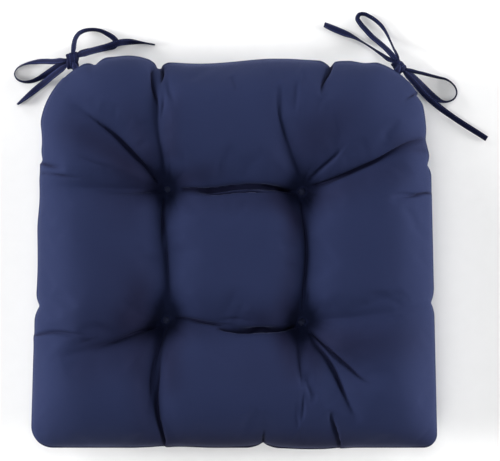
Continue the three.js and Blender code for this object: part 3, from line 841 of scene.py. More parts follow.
# %% Run it on the coarse grid
across, along = square(SIM_CELLS)
plan = plan_points(across, along)
full = swell(across, HALF_WIDTH) * swell(along, HALF_DEPTH)
coarse = np.concatenate([
    np.concatenate([plan, panel_heights(plan, full, way)[..., None]], axis=-1).reshape(-1, 3)
    for way in (1, -1)
])
hold = pin_weights(plan, across, along)
move = stuff(coarse, shell_faces(len(across))[0], np.concatenate([hold, hold]))
moves = move.reshape(2, *plan.shape[:2], 3) * kept_share(plan, across, along)[None, :, :, None]
size = np.linalg.norm(move, axis=1)
print("cloth moved by up to", size.max().round(2), "mm, on average", size.mean().round(2), "mm")

# %% [markdown]
# ## Creases, pleats and puckers
#
# At the bottom of a fold the two lobes touch along a sharp line, and one of them often leans
# over it. A bump in the material would do for a shallow wrinkle, but a crease has walls that
# shade each other, so it is in the mesh. It needs closer cells than the rest of the cover:
# the grid is first gathered towards every crease. The cloth then sinks along each line, and
# what stands beside it is pushed sideways by the lean. Small pleats fan out from each stitch
# and small puckers line the seam: they are drawn at random, from one seed, because no two
# real ones are alike. Where folds crowd together, little light gets in, so the cloth's colour
# is painted darker there as painted shade: along the bottom of each crease, around each
# stitch, along a few short routes and along the front rim.

# %% Creases that the photograph shows
# Depths at even steps along the route, reach, lean to the left of the route, route
CREASES = {
    "between the back tufts": ((3, 10, 7, 10, 6), 7.5, -0.3, [
        (-62, 75), (-48, 74.4), (-35, 73.3), (-18, 74.8), (0, 77.2), (16, 78.2), (32, 77.8), (52, 76),
        (70, 72.6)]),
    "before it": ((0, 4.5, 4, 4.5, 0), 6, 0, [(-46, 70), (-24, 70.5), (0, 73), (24, 74), (50, 71)]),
    "down the left tufts, upper part": ((2.4, 3.6, 0), 5.5, 0.3, [
        (-82, 64), (-84, 46), (-84, 28), (-83.4, 14), (-82.5, 0)]),
    "down the left tufts, lower part": ((0, 2.2, 1.7, 0.8), 5.5, -0.3, [
        (-81.6, 30), (-81, 12), (-79.8, -4), (-78.6, -22), (-77.6, -42), (-78.4, -64)]),
    "down the right tufts": ((2.4, 3, 3, 1.6), 6, 0.4, [
        (80, 60), (82, 42), (84.4, 24), (85.8, 4), (85, -18), (83.2, -38), (81.6, -66)]),
    "beside it, short": ((0, 1.6, 0), 5, 0, [(88, -40), (87, -52), (85, -66)]),
    "between the front tufts, upper": ((2, 3.5, 3, 0), 6, 0.4, [
        (-70, -78), (-54, -79.8), (-35, -83), (-12, -86), (2, -85.6)]),
    "between the front tufts, lower": ((2, 10, 11, 9, 5), 7, -0.4, [
        (-20, -89), (-6, -91), (10, -92), (28, -91.6), (46, -91), (62, -89.6), (74, -87.6)]),
    "faint one behind it": ((0, 2, 0), 6, 0, [(-24, -82), (0, -78.6), (24, -82)]),
    "back left tuft to the back edge": ((1.2, 0.5, 0.4, 3.5, 4), 6, 0.6, [
        (-82, 92), (-85, 110), (-89, 132), (-90, 154), (-91, 174), (-95, 198), (-96, 216)]),
    "pucker beside it": ((6, 5, 0), 5, 0, [(-88, 228), (-85, 216), (-86, 206), (-89, 198)]),
    "light ridge beside it": ((0, 2, 0), 6, 0, [(-83, 190), (-84, 176), (-86, 156)]),
    "back left tuft to its corner": ((2.2, 3.8, 3.8, 2, 0), 5, 0.3, [
        (-90, 84), (-106, 103), (-122, 120), (-140, 138), (-162, 155), (-188, 176)]),
    "back left tuft to the left edge": ((2, 1.2, 0), 8, 0, [(-92, 74), (-130, 71), (-172, 76)]),
    "left edge, first": ((4, 3, 0), 5, 0.5, [(-238, 108), (-225, 104), (-212, 101), (-198, 99)]),
    "left edge, second": ((2, 2.5, 0), 5, 0.5, [(-230, 94), (-214, 92), (-196, 89), (-176, 88)]),
    "left, soft": ((0, 1.6, 0), 13, 0, [(-206, 123), (-170, 108), (-134, 94)]),
    "front left tuft to the left edge": ((3, 3, 2.5, 1.5, 0), 7, -0.4, [
        (-92, -88), (-114, -95), (-137, -104), (-163, -111), (-194, -121)]),
    "left edge, third": ((3, 2, 0), 6, 0.8, [(-240, -99), (-212, -95), (-190, -97), (-160, -99)]),
    "below it, short": ((0, 2, 0), 5, 0, [(-194, -110), (-178, -106), (-157, -100)]),
    "front left tuft to the front edge": ((1.6, 2.4, 2.8, 0), 5, 0.4, [
        (-83, -92), (-87, -106), (-91, -120), (-95, -135), (-97.4, -152), (-99.4, -172),
        (-103, -190)]),
    "its right strand": ((0, 2.5, 3.5, 5, 6), 5.5, 0.5, [
        (-86, -112), (-88, -130), (-90, -150), (-92, -172), (-90, -196), (-86, -214), (-81, -235)]),
    "front right tuft to its corner": ((1.2, 3.2, 3.6, 0), 5, 0.3, [
        (88, -95), (95, -106), (105, -119), (117, -138), (126, -158), (135, -178), (142, -193)]),
    "beside it": ((3, 4.5, 3, 0), 5, 0.3, [
        (90, -95), (108, -112), (122, -124.6), (134, -134.5), (149, -147.5), (172, -160)]),
    "faint one above that": ((0, 1.5, 0), 6, 0, [(104, -100), (124, -116), (146, -133)]),
    "front edge, right of the middle": ((4, 3.5, 0), 5, 0.8, [
        (127, -234), (122, -216), (117, -201), (112, -184)]),
    "front right tuft to the front edge": ((1.5, 1.6, 0), 9, 0, [(76, -106), (78, -134), (80, -160)]),
    "front notch": ((5, 3, 0), 5, 0, [(34, -236), (35, -222), (35.5, -209)]),
    "back right tuft to the right edge": ((3, 4, 4, 4, 2.4), 5, -0.4, [
        (94, 78.6), (110, 83.6), (128, 90.8), (150, 100.5), (170, 109.5), (190, 121), (206, 129),
        (224, 134)]),
    "above it": ((1.6, 2.4, 0), 5, -0.3, [(90, 86), (107, 103), (124, 118.5), (139, 136)]),
    "right edge, first": ((2, 2, 0), 5, 0, [(240, 120), (220, 121), (196, 121)]),
    "right edge, second": ((3.5, 3, 0), 5, -0.8, [(242, 70), (231, 70), (214, 67), (194, 66)]),
    "back right tuft to the back edge": ((0.5, 0.6, 1.8, 1.4, 0), 5, 0.3, [
        (76, 88), (72, 106), (66, 124), (59, 144), (54, 162), (51, 180), (51.5, 196)]),
    "right notch of the back edge": ((7, 5, 0), 5.5, -0.4, [
        (118, 228), (112, 214), (106, 202), (102.5, 187)]),
    "right corner, short": ((4, 2.5, 0), 5, 0, [(224, 192), (212, 187), (199, 180)]),
    "back edge, faint": ((0, 1.6, 0), 7, 0, [(-4, 214), (0, 200), (3, 188)]),
}
GATHERED = 0.82
GATHER_REACH = 8
FINE_STEP = 4
print(len(CREASES), "creases")


# %% Gather the grid towards the creases
def gather(plan):
    """Moves each point towards its nearest place on a crease by GATHERED exp(-(d / reach)^2)
    of the distance d, less where the crease runs out. Where creases meet, the shares are
    scaled down so that together they stay below GATHERED."""
    points = plan.reshape(-1, 2)
    pull, total = np.zeros_like(points), np.zeros(len(points))
    for crease in beside(CREASES.values(), points, FINE_STEP, margin=3 * GATHER_REACH):
        strength = GATHERED * smoothstep(crease.depth, 0.5, 4)
        strength *= np.exp(-crease.squared / GATHER_REACH**2)
        pull[crease.near] -= strength[:, None] * crease.offset
        total[crease.near] += strength
    return (points + pull / np.maximum(total / GATHERED, 1)[:, None]).reshape(plan.shape)


# %% Pleats around a stitch and puckers along the seam
PLEATS = 9
PUCKER_SPACING = 26


def pleats(centre):
    """Short creases that fan out from a stitch at uneven angles, each bending a little."""
    rows = []
    for i in range(PLEATS):
        angle = 2 * np.pi * (i + rng.uniform(-0.4, 0.4)) / PLEATS
        length = rng.uniform(20, 46)
        angles = angle + rng.uniform(-0.25, 0.25) * np.array([0, 0.5, 1])
        far = np.array([9, 0.5 * length, length])
        route = np.array(centre) + np.stack([np.cos(angles), np.sin(angles)], axis=1) * far[:, None]
        depth = rng.uniform(0.3, 1.1)
        rows.append(((depth, 0.8 * depth, 0), rng.uniform(6, 10), rng.uniform(-0.5, 0.5), route))
    return rows


def puckers(rim):
    """Short creases that run in from the seam, at uneven steps around the rim."""
    loop = np.concatenate([rim, rim[:1]])
    place = np.concatenate([[0], np.cumsum(np.linalg.norm(np.diff(loop, axis=0), axis=1))])
    rows = []
    for i in range(int(place[-1] / PUCKER_SPACING)):
        at = (i + rng.uniform(0.1, 0.9)) * PUCKER_SPACING
        start, beyond = (
            np.array([np.interp(run % place[-1], place, loop[:, axis]) for axis in (0, 1)])
            for run in (at, at + 4)
        )
        along = (beyond - start) / np.linalg.norm(beyond - start)
        inward = np.array([-along[1], along[0]]) + along * rng.uniform(-0.35, 0.35)
        length = rng.uniform(9, 30)
        route = np.stack([start + far * inward for far in (-3, 0.5 * length, length)])
        depth = rng.uniform(0.1, 0.6)
        rows.append(((depth, 0.8 * depth, 0), rng.uniform(6, 11), 0, route))
    return rows


# %% Sink the creases into a panel
CREASE_BLEND = 2.5
# Factor on the depths that the table gives
DEEPENED = 1.35
SLOT_WIDTH = 1.1
SLOT_SHARE = 0.6
# Width and strength of the painted shade along the bottom of each crease
SHADE_WIDTH = 1.6
DARKEST = 0.95


def crease_moves(plan, normals, rows):
    """Moves of a panel's points: inwards along the normals by the creases' depths, which are
    summed as powers of CREASE_BLEND, and sideways by each lean. The sideways move is the
    lean times (1 - c) exp(-(d / reach)^2), with c the cleft's share of its depth, so that the
    bottom stays and both walls tilt over it, and it is less where the crease is shallow. Then
    how dark each point is painted in the creases: a painted shade along each crease's bottom."""
    points = plan.reshape(-1, 2)
    total, sideways, shade = np.zeros(len(points)), np.zeros_like(points), np.zeros(len(points))
    for crease in beside(rows, points, FINE_STEP, reaches=2):
        near, distance = crease.near, np.linalg.norm(crease.offset, axis=1)
        depth = DEEPENED * crease.depth
        lips = np.clip(1 - distance / crease.reach, 0, 1) ** 2
        hollow = SLOT_SHARE * np.exp(-((distance / SLOT_WIDTH) ** 2)) + (1 - SLOT_SHARE) * lips
        total[near] += (depth * hollow) ** CREASE_BLEND
        tilt = crease.lean * (1 - hollow) * np.exp(-((distance / crease.reach) ** 2))
        tilt *= smoothstep(depth, 0, 4)
        to_the_left = np.stack([-crease.heading[:, 1], crease.heading[:, 0]], axis=1)
        sideways[near] += tilt[:, None] * to_the_left
        # Painted shade: the cloth's colour is darkened along the bottom of the crease
        dark = DARKEST * smoothstep(depth, 0.5, 6) * np.exp(-((distance / SHADE_WIDTH) ** 2))
        shade[near] = np.maximum(shade[near], dark)
    dip = total ** (1 / CREASE_BLEND)
    moves = -dip[:, None] * normals.reshape(-1, 3)
    moves[:, :2] += sideways
    return moves.reshape(*plan.shape[:-1], 3), shade


# %% Painted shade beside the folds
# Painted shade around each stitch, its strength and reach
HOLLOW_SHADE = 0.12
SHADE_REACH = 25
# Painted shade along a route: share at even steps along the route, reach, route
SHADES = [
    ((0.7, 0.9, 0.75, 0.6, 0.3), 19, [
        (-102, 86), (-122, 100), (-147, 121), (-174, 137), (-196, 146)]),
    ((0.5, 0.45, 0.25, 0), 27, [(-106, 70), (-126, 64), (-152, 66), (-188, 70)]),
    ((0, 0.3, 0.75, 0.75), 20, [(-108, 8), (-110, -30), (-114, -58), (-122, -76)]),
    ((0.15, 0.28, 0.2), 38, [(-135, 20), (-145, -40), (-165, -75)]),
    ((0.6, 0.5, 0.35, 0), 28, [(-112, -92), (-135, -100), (-160, -106), (-200, -116)]),
    ((0.65, 0.6, 0.45, 0.35), 18, [(-102, -104), (-110, -118), (-107, -160), (-104, -205)]),
    ((0.3, 0.3), 24, [(-135, -130), (-175, -142)]),
    ((0.5, 0.65, 0.4), 15, [(-68, -100), (-75, -124), (-73, -154)]),
    ((0.5, 0.35, 0.1), 13, [(-62, -87), (-40, -92), (-16, -98)]),
    ((0.15, 0.25, 0.1), 38, [(-10, -118), (24, -130), (60, -150)]),
    ((0.1, 0.2, 0.6, 0.6), 16, [(-30, -76), (20, -80), (52, -78), (64, -72)]),
    ((0.9, 0.7, 0.45), 14, [(60, -100), (65, -119), (70, -140)]),
    ((0.6, 0.9, 0.3, 0.4, 0.5), 12, [(52, 64), (72, 40), (70, 4), (66, -34), (60, -60)]),
    ((0.3, 0.3, 0.4, 0.5), 16, [(-56, 62), (-10, 62), (36, 64), (56, 66)]),
    ((0.7, 0.65, 0.5, 0.3), 27, [(108, -102), (130, -108), (165, -106), (205, -102)]),
    ((0.6, 0.5, 0), 12, [(88, -114), (96, -132), (104, -152)]),
    ((0.3, 0.5, 0.35), 32, [(74, 110), (98, 138), (124, 156)]),
    ((0.7, 0.4, 0), 14, [(-58, 87), (-30, 93), (0, 96)]),
    ((0.5, 0.45, 0.2), 12, [(-74, 120), (-76, 146), (-70, 176)]),
    ((0.5, 0.45, 0.2), 14, [(-100, 116), (-115, 146), (-122, 172)]),
    ((0.55, 0.4, 0.35), 20, [(102, 66), (140, 82), (190, 98)]),
    ((0.4, 0.4), 11, [(196, 127), (238, 131)]),
    ((0.35, 0.35), 9, [(76, 72), (84, 74)]),
    ((0.55, 0.55), 14, [(-110, -79), (-122, -84)]),
    # Painted shade along the front rim, where little light falls
    ((0, 1, 1, 0.5), 20, [(-236, -236), (-120, -235), (120, -235), (236, -236)]),
]

print(len(SHADES), "soft shades")


def soft_shade(plan):
    """How dark the cloth is painted beside the folds, 0 to 1, a painted shade: each disc at a
    tuft and each route has a share of exp(-(d / reach)^2), and shares s combine as
    1 - (1 - s)(1 - s) ..."""
    points = plan.reshape(-1, 2)
    light = np.ones(len(points))
    for tuft in TUFTS.values():
        distance = np.linalg.norm(points - tuft, axis=1)
        light *= 1 - HOLLOW_SHADE * np.exp(-((distance / SHADE_REACH) ** 2))
    for soft in beside(SHADES, points, WIDE_STEP, reaches=6):
        light[soft.near] *= 1 - soft.depth * np.exp(-soft.squared / soft.reach**2)
    return 1 - light


# %% Lumps of the filling
LUMPS = 70


def filling_lumps(plan):
    """Unevenness of the stuffing: a sum of round bumps a exp(-(r / w)^2) at random places,
    some of them upwards and some down."""
    height = np.zeros(plan.shape[:-1])
    for _ in range(LUMPS):
        centre = rng.uniform(-HALF_WIDTH, HALF_WIDTH, 2)
        width = rng.uniform(16, 44)
        bump = np.exp(-((plan - centre) ** 2).sum(axis=-1) / width**2)
        height += rng.uniform(-1.1, 1.1) * bump
    return height


# %% Refine the grid
def refine(values):
    """Values on a grid with a new line between every two, halfway between its neighbours,
    and then every inner line smoothed with the weights 1, 2 and 1."""
    for axis in (0, 1):
        lines = np.moveaxis(values, axis, 0)
        finer = np.empty((2 * len(lines) - 1, *lines.shape[1:]))
        finer[::2] = lines
        finer[1::2] = (lines[:-1] + lines[1:]) / 2
        finer[1:-1] = (finer[:-2] + 2 * finer[1:-1] + finer[2:]) / 4
        values = np.moveaxis(finer, 0, axis)
    return values


def grid_normals(points):
    """Unit normals of a grid of points: the cross product of its slopes across and along."""
    normals = np.cross(np.gradient(points, axis=1), np.gradient(points, axis=0))
    return normals / np.maximum(np.linalg.norm(normals, axis=-1, keepdims=True), 1e-9)


# %% [markdown]
# ## The cover as one closed skin
#
# The two panels are computed on the fine grid, moved as the cloth did on the coarse one, and
# creased. Right under a stitch the cloth is pressed flat. The panels meet in the lip of the
# seam, and with it they make one closed skin, as a sewn cover is. A UV map seen from above
# would stretch the weave on the steep sides. This one is measured in cloth: it unrolls the
# swell.

# %% Upper and lower panel
STITCH_RADIUS = 4
# Height of the cloth under a stitch above the lowest point of the stitch's solid
CLOTH_IN_STITCH = 0.6
# How much the finished underside is lowered before it is kept above the surface
SETTLED = 0.4

across, along = square(2 * SIM_CELLS)
full = swell(across, HALF_WIDTH) * swell(along, HALF_DEPTH)
cover_faces, rim = shell_faces(len(across))
inside_lip = smoothstep(edge_gap(across, along), LIP, LIP + 6)[..., None]

panels, shades, plans = [], [], []
for moved, way in ((refine(moves[0]), 1), (refine(moves[1]), -1)):
    plan = gather(plan_points(across, along) + moved[..., :2])
    heights = panel_heights(plan, full, way) + moved[..., 2]
    points = np.concatenate([plan, heights[..., None]], axis=-1)
    normals = way * grid_normals(points)
    rows = list(CREASES.values())
    for tuft in TUFTS.values():
        rows += pleats(tuft)
    rows += puckers(plan.reshape(-1, 2)[rim])
    creased, shade = crease_moves(plan, normals, rows)
    creased *= 1 if way > 0 else UNDER_DEPTH
    # Painted shade of the creases and beside the folds, kept for the cover's colour
    shades.append(1 - (1 - shade) * (1 - soft_shade(plan)))
    lumps = filling_lumps(plan)[..., None] * normals * full[..., None]
    points = points + (creased + lumps) * inside_lip
    if way < 0:
        points[..., 2] = soft_floor(points[..., 2] - SETTLED)
    panels.append(points)
    plans.append(plan)

top = panels[0][..., 2]
for name, tuft in TUFTS.items():
    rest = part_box("tuft_" + name)[0][2] / MM + CLOTH_IN_STITCH
    distance = np.linalg.norm(plans[0] - tuft, axis=-1)
    flat = 1 - smoothstep(distance, STITCH_RADIUS - 1, STITCH_RADIUS + 3)
    top += flat * (rest - top)
for panel, label in zip(panels, ("upper", "lower")):
    low, high = panel[..., 2].min(), panel[..., 2].max()
    print(label, "panel from", round(low, 1), "to", round(high, 1), "mm")


# %% Unroll the swell for the UV map
# Share by which the cloth is narrower at the back than in the middle
BACK_NARROWER = 0.023


def unrolled(line, half):
    """Length of cloth from the middle to each line of the grid: the sum of the steps
    sqrt(dx^2 + dz^2) along the swell of a plain crown."""
    steps = np.hypot(np.diff(line * half), np.diff(CROWN_ABOVE * swell(line, half)))
    length = np.concatenate([[0], np.cumsum(steps)])
    return length - np.interp(0, line, length)


cloth_x, cloth_y = np.meshgrid(unrolled(across[0], HALF_WIDTH), unrolled(along[:, 0], HALF_DEPTH))
cloth = np.stack([cloth_x * (1 - BACK_NARROWER * along), cloth_y], axis=-1).reshape(-1, 2)
print("cloth in a panel:", np.ptp(cloth, axis=0).round().tolist(), "mm")

# %% Put the cover together
cover_points = np.concatenate([panel.reshape(-1, 3) for panel in panels])
cover = new_piece("cushion_cover", "cover", cover_points, cover_faces, np.concatenate([cloth, cloth]))
# The painted shade goes onto the cover's points as fold_shade
fold_shade = cover.data.attributes.new("fold_shade", "FLOAT", "POINT")
fold_shade.data.foreach_set("value", np.concatenate(shades).astype(np.float32))
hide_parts("cushion")
print(cover.name, len(cover.data.vertices), "points", len(cover.data.polygons), "faces")

# %% [markdown]
# ## The tuft stitches
#
# Each tuft is tied with heavy thread that goes down through the cushion and back up, several
# times over, so a small cross of parallel strands shows at the bottom of the hollow. A round
# bead would do from afar. Here every strand is an arch of thread of its own, with its ends in
# the cloth.

# %% Thread
THREAD_RADIUS = 0.5
STRAND_SPACING = 0.95
STRANDS = 5
ENDS_BELOW = 0.7
# Turn and rise of each bundle of strands
BUNDLES = [(0, 1.5), (78, 2.4)]


def strand(start, end, rise, sides=7, steps=14):
    """A tube along a half sine arch: the line from start to end, lifted by rise sin(pi t),
    with a round section."""
    t = np.linspace(0, 1, steps)[:, None]
    centre = start + t * (end - start) + rise * np.sin(np.pi * t) * np.array([0.0, 0.0, 1.0])
    _, side, upward = line_frame(centre)
    turn = np.linspace(0, 2 * np.pi, sides, endpoint=False)
    y, z = THREAD_RADIUS * np.cos(turn), THREAD_RADIUS * np.sin(turn)
    return tube(centre, side, upward, y, z, t * np.linalg.norm(end - start), turn * THREAD_RADIUS)


def cross_stitch(centre, heading, way):
    """Two bundles of parallel strands across each other, the second one a little higher."""
    strands = []
    for turned, rise in BUNDLES:
        angle = np.radians(heading + turned + rng.uniform(-6, 6))
        ahead = np.array([np.cos(angle), np.sin(angle), 0])
        beside_it = np.array([-ahead[1], ahead[0], 0])
        for i in range(STRANDS):
            shift = (i - (STRANDS - 1) / 2) * STRAND_SPACING
            half = STITCH_RADIUS * np.sqrt(1 - (shift / (STITCH_RADIUS + 1)) ** 2)
            half += rng.uniform(-0.3, 0.3)
            middle = np.array(centre) + beside_it * shift + [0, 0, -ENDS_BELOW * way]
            skew = beside_it * rng.uniform(-0.4, 0.4)
            start, end = middle - ahead * half - skew, middle + ahead * half + skew
            strands.append(strand(start, end, way * (rise + rng.uniform(-0.15, 0.15))))
    return join(strands)


# %% Tie the tufts
for name, tuft in TUFTS.items():
    for label, way, panel, plan in zip(("stitch_", "stitch_under_"), (1, -1), panels, plans):
        height = panel[..., 2].flat[np.linalg.norm(plan - tuft, axis=-1).argmin()]
        surface = cross_stitch((*tuft, height), rng.uniform(0, 90), way)
        stitch = new_piece(label + name, "thread", *surface)
        if way > 0:
            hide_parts("tuft_" + name)
        print(stitch.name, "at height", round(height, 1), "mm")

# %% [markdown]
# ## Cloth, tape and thread
#
# The cover is a plain weave of fine polyester: each thread goes over one and under the next.
# An image of cloth would blur up close. The weave here is worked out from the UV map, as
# threads half a millimetre apart, with slight streaks where a thread is thicker or lighter.
# Fine fibres that stand up from the cloth catch light at a flat angle: that is the sheen.


# %% Helpers for materials
def add(tree, kind, values=None, **settings):
    """A shader node of a kind. A value that is a socket is linked, and another is set."""
    made = tree.nodes.new("ShaderNode" + kind)
    for key, value in settings.items():
        setattr(made, key, value)
    for key, value in (values or {}).items():
        if isinstance(value, bpy.types.NodeSocket):
            tree.links.new(value, made.inputs[key])
        else:
            made.inputs[key].default_value = value
    return made


def maths(tree, operation, a, b=0.0, c=0.0):
    """The output of a Math node."""
    return add(tree, "Math", {0: a, 1: b, 2: c}, operation=operation).outputs[0]


def mix(tree, share, a, b):
    """Two values mixed by a share."""
    return add(tree, "Mix", {0: share, 2: a, 3: b}).outputs[0]


def mix_colours(tree, share, *colours):
    """Two colours mixed by a share. A colour of three numbers gets a fourth, its opacity."""
    a, b = ((*colour, 1) if isinstance(colour, tuple) else colour for colour in colours)
    return add(tree, "Mix", {0: share, 6: a, 7: b}, data_type="RGBA").outputs[2]


def noise(tree, place, scale, detail):
    """Soft noise, 0 to 1."""
    values = {"Vector": place, "Scale": scale, "Detail": detail}
    return add(tree, "TexNoise", values).outputs["Fac"]


def new_material(name, roughness, sheen, sheen_tint=(1, 1, 1), sheen_roughness=0.4):
    """A material with a plain Principled surface, and its tree."""
    material = bpy.data.materials.new(name)
    material.use_nodes = True
    values = {
        "Roughness": roughness, "Sheen Weight": sheen, "Sheen Tint": (*sheen_tint, 1),
        "Sheen Roughness": sheen_roughness, "Specular IOR Level": 0.12,
    }
    for socket, value in values.items():
        material.node_tree.nodes["Principled BSDF"].inputs[socket].default_value = value
    return material, material.node_tree


def finish(tree, colour, relief=None, strength=0.0, depth=0.0):
    """Links a colour to the shader, and a relief of a depth in metres as its bump."""
    shader = tree.nodes["Principled BSDF"]
    tree.links.new(colour, shader.inputs["Base Color"])
    if relief:
        values = {"Strength": strength, "Distance": depth, "Height": relief}
        tree.links.new(add(tree, "Bump", values).outputs[0], shader.inputs["Normal"])


def plain_weave(tree, cloth, pitch):
    """Height of a plain weave, 0 to 1. In every cell one thread is on top, the other way in
    the next: a thread's profile is 1 - (2 f - 1)^2 of the fraction f across it, and the top
    one is lowered a little where the one beneath it ends."""
    scaled = add(tree, "VectorMath", {0: cloth, "Scale": 1 / pitch}, operation="SCALE")
    split = add(tree, "SeparateXYZ", {0: scaled.outputs[0]})
    profiles, cells = [], []
    for axis in (0, 1):
        fraction = maths(tree, "FRACT", split.outputs[axis])
        centred = maths(tree, "MULTIPLY_ADD", fraction, 2.0, -1.0)
        profiles.append(maths(tree, "SUBTRACT", 1.0, maths(tree, "MULTIPLY", centred, centred)))
        cells.append(maths(tree, "FLOOR", split.outputs[axis]))
    parity = maths(tree, "FLOORED_MODULO", maths(tree, "ADD", *cells), 2.0)
    over, under = mix(tree, parity, *profiles), mix(tree, parity, *profiles[::-1])
    return maths(tree, "MULTIPLY", over, maths(tree, "MULTIPLY_ADD", under, 0.45, 0.55))


def streaks(tree, cloth, stretch, scale):
    """Noise drawn out along one direction of the cloth."""
    stretched = add(tree, "Mapping", {"Vector": cloth, "Scale": stretch}).outputs[0]
    return noise(tree, stretched, scale, 3.0)


# %% The cover's cloth
NAVY_DARK = (0.0086, 0.0132, 0.0450)
NAVY_LIGHT = (0.0133, 0.0202, 0.0604)
# Colour that the painted shade in the folds darkens the cloth towards
NAVY_PAINTED_SHADE = (0.0026, 0.0024, 0.0150)
SHEEN_TINT = (0.46, 0.54, 1.0)
WEAVE_PITCH = 0.5 * MM
WEAVE_DEPTH = 0.12 * MM

cover_cloth, tree = new_material("navy cover cloth", 0.85, 0.09, SHEEN_TINT, 0.3)
uv_map = add(tree, "UVMap", uv_map="cloth").outputs[0]
weft = streaks(tree, uv_map, (0.05, 1, 1), 900)
warp = streaks(tree, uv_map, (1, 0.05, 1), 900)
cloud = noise(tree, add(tree, "TexCoord").outputs["Object"], 14.0, 2.0)
tone = maths(tree, "ADD", maths(tree, "MULTIPLY", weft, 0.4), maths(tree, "MULTIPLY", warp, 0.25))
tone = maths(tree, "ADD", tone, maths(tree, "MULTIPLY", cloud, 0.35))
height = plain_weave(tree, uv_map, WEAVE_PITCH)
# Partly painted shade: the low places of the weave are painted darker; the streaks and cloud are the
# cloth's own tone
tone = maths(tree, "MULTIPLY_ADD", height, 0.2, maths(tree, "SUBTRACT", tone, 0.12))
colour = mix_colours(tree, tone, NAVY_DARK, NAVY_LIGHT)
# Painted shade: fold_shade darkens the colour in the creases and beside the folds
in_fold = add(tree, "Attribute", attribute_name="fold_shade").outputs["Fac"]
colour = mix_colours(tree, maths(tree, "MULTIPLY", in_fold, 0.85), colour, NAVY_PAINTED_SHADE)
relief = maths(tree, "ADD", height, maths(tree, "MULTIPLY", weft, 0.5))
finish(tree, colour, relief, 0.35, WEAVE_DEPTH)
cover.data.materials.append(cover_cloth)

# %% The tape's cloth, with a line of stitches near each edge
TAPE_DARK = (0.0010, 0.0017, 0.0110)
TAPE_LIGHT = (0.0046, 0.0074, 0.0430)
TAPE_THREAD = (0.030, 0.044, 0.130)
TAPE_PITCH = 0.45 * MM
STITCH_PITCH = 3.0 * MM
STITCH_HALF_WIDTH = 0.28 * MM
# Share of the pitch that each stitch covers
STITCHED = 0.62

tape_cloth, tree = new_material("navy tape", 0.75, 0.02, SHEEN_TINT, 0.3)
uv_map = add(tree, "UVMap", uv_map="cloth").outputs[0]
height = plain_weave(tree, uv_map, TAPE_PITCH)
split = add(tree, "SeparateXYZ", {0: uv_map})
off_middle = maths(tree, "ABSOLUTE", split.outputs[1])
off_line = maths(tree, "ABSOLUTE", maths(tree, "SUBTRACT", off_middle, STITCH_LINE * TAPE_WIDTH * MM))
on_line = maths(tree, "LESS_THAN", off_line, STITCH_HALF_WIDTH)
along_line = maths(tree, "FRACT", maths(tree, "DIVIDE", split.outputs[0], STITCH_PITCH))
thread = maths(tree, "MULTIPLY", on_line, maths(tree, "LESS_THAN", along_line, STITCHED))
colour = mix_colours(tree, streaks(tree, uv_map, (1, 0.2, 1), 500), TAPE_DARK, TAPE_LIGHT)
colour = mix_colours(tree, thread, colour, TAPE_THREAD)
relief = maths(tree, "ADD", height, maths(tree, "MULTIPLY", thread, 1.5))
finish(tree, colour, relief, 0.4, WEAVE_DEPTH)

# %% The thread, twisted from finer ones
THREAD_DARK = (0.010, 0.013, 0.034)
THREAD_LIGHT = (0.030, 0.037, 0.080)
TWIST = 38

thread_finish, tree = new_material("navy thread", 0.55, 0.05, SHEEN_TINT)
uv_map = add(tree, "UVMap", uv_map="cloth").outputs[0]
slanted = add(tree, "Mapping", {"Vector": uv_map, "Rotation": (0, 0, np.radians(TWIST))}).outputs[0]
plies = add(tree, "TexWave", {"Vector": slanted, "Scale": 330.0, "Distortion": 0.4}).outputs["Fac"]
# Painted shade: the grooves between the plies are painted darker, and the same wave is their bump
finish(tree, mix_colours(tree, plies, THREAD_DARK, THREAD_LIGHT), plies, 0.6, 0.15 * MM)

for piece in bpy.data.objects:
    if piece.name.startswith(("tape_", "knot_")):
        piece.data.materials.append(tape_cloth)
    if piece.name.startswith("stitch_"):
        piece.data.materials.append(thread_finish)
print("materials:", ", ".join(material.name for material in bpy.data.materials))

# %% [markdown]
# ## Floor and light
#
# The photograph is a catalogue picture on white, with bright edges to the left and right and
# even, soft tops. One lamp overhead would leave those edges dark. Here two strong suns shine
# in low from the sides, weaker ones come from behind, and two more from above keep the tops
# even. Each is as wide as a large soft box, so no shadow has a hard edge.

# %% Floor
FLOOR_HALF = 3.0
PALE = (0.86, 0.86, 0.86)
PALER = (0.89, 0.89, 0.89)

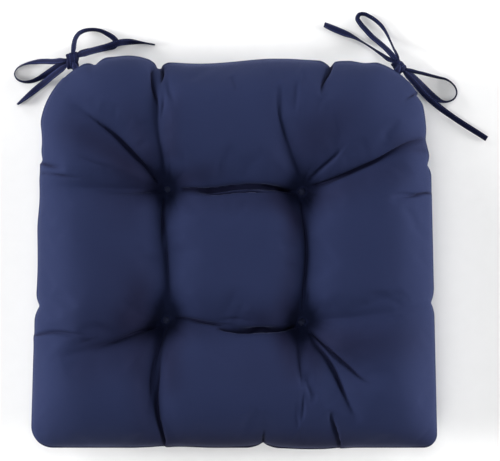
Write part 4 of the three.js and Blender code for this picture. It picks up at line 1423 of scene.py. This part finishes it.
floor_mesh = bpy.data.meshes.new("floor")
floor_corners = [(-FLOOR_HALF, -FLOOR_HALF, 0), (FLOOR_HALF, -FLOOR_HALF, 0),
                 (FLOOR_HALF, FLOOR_HALF, 0), (-FLOOR_HALF, FLOOR_HALF, 0)]
floor_mesh.from_pydata(floor_corners, [], [(0, 1, 2, 3)])
floor = bpy.data.objects.new("floor", floor_mesh)
bpy.context.collection.objects.link(floor)
floor_finish, tree = new_material("pale floor", 0.9, 0.0)
speckle = noise(tree, add(tree, "TexCoord").outputs["Object"], 60.0, 2.0)
finish(tree, mix_colours(tree, speckle, PALE, PALER))
floor_mesh.materials.append(floor_finish)
print("floor", 2 * FLOOR_HALF, "m wide")

# %% Lights
# Direction from the right, turning left, and elevation, in degrees, then strength
LIGHTS = {
    "left": (180, 15, 5.0),
    "right": (0, 10, 5.8),
    "behind to the left": (135, 15, 1.9),
    "behind to the right": (45, 15, 1.3),
    "above the front": (245, 58, 0.9),
    "above the back": (90, 70, 0.7),
}
SUN_WIDTH = 28
SUN_DISTANCE = 2
SKY_STRENGTH = 0.08


def soft_sun(name, turn, elevation, strength):
    """A sun as wide as a large soft box, shining from a direction given by two angles."""
    turn, elevation = np.radians(turn), np.radians(elevation)
    level = np.cos(elevation)
    towards = Vector((np.cos(turn) * level, np.sin(turn) * level, np.sin(elevation)))
    data = bpy.data.lights.new(name, "SUN")
    data.angle = np.radians(SUN_WIDTH)
    data.energy = strength
    light = bpy.data.objects.new(name, data)
    light.rotation_euler = towards.to_track_quat("Z", "Y").to_euler()
    light.location = SUN_DISTANCE * towards
    bpy.context.collection.objects.link(light)


for name, row in LIGHTS.items():
    soft_sun("light " + name, *row)
world = bpy.data.worlds.new("sky")
world.use_nodes = True
background = world.node_tree.nodes["Background"]
background.inputs["Color"].default_value = (1, 1, 1, 1)
background.inputs["Strength"].default_value = SKY_STRENGTH
bpy.context.scene.world = world
bpy.context.scene.view_settings.view_transform = "Standard"
print(len(LIGHTS), "lights")
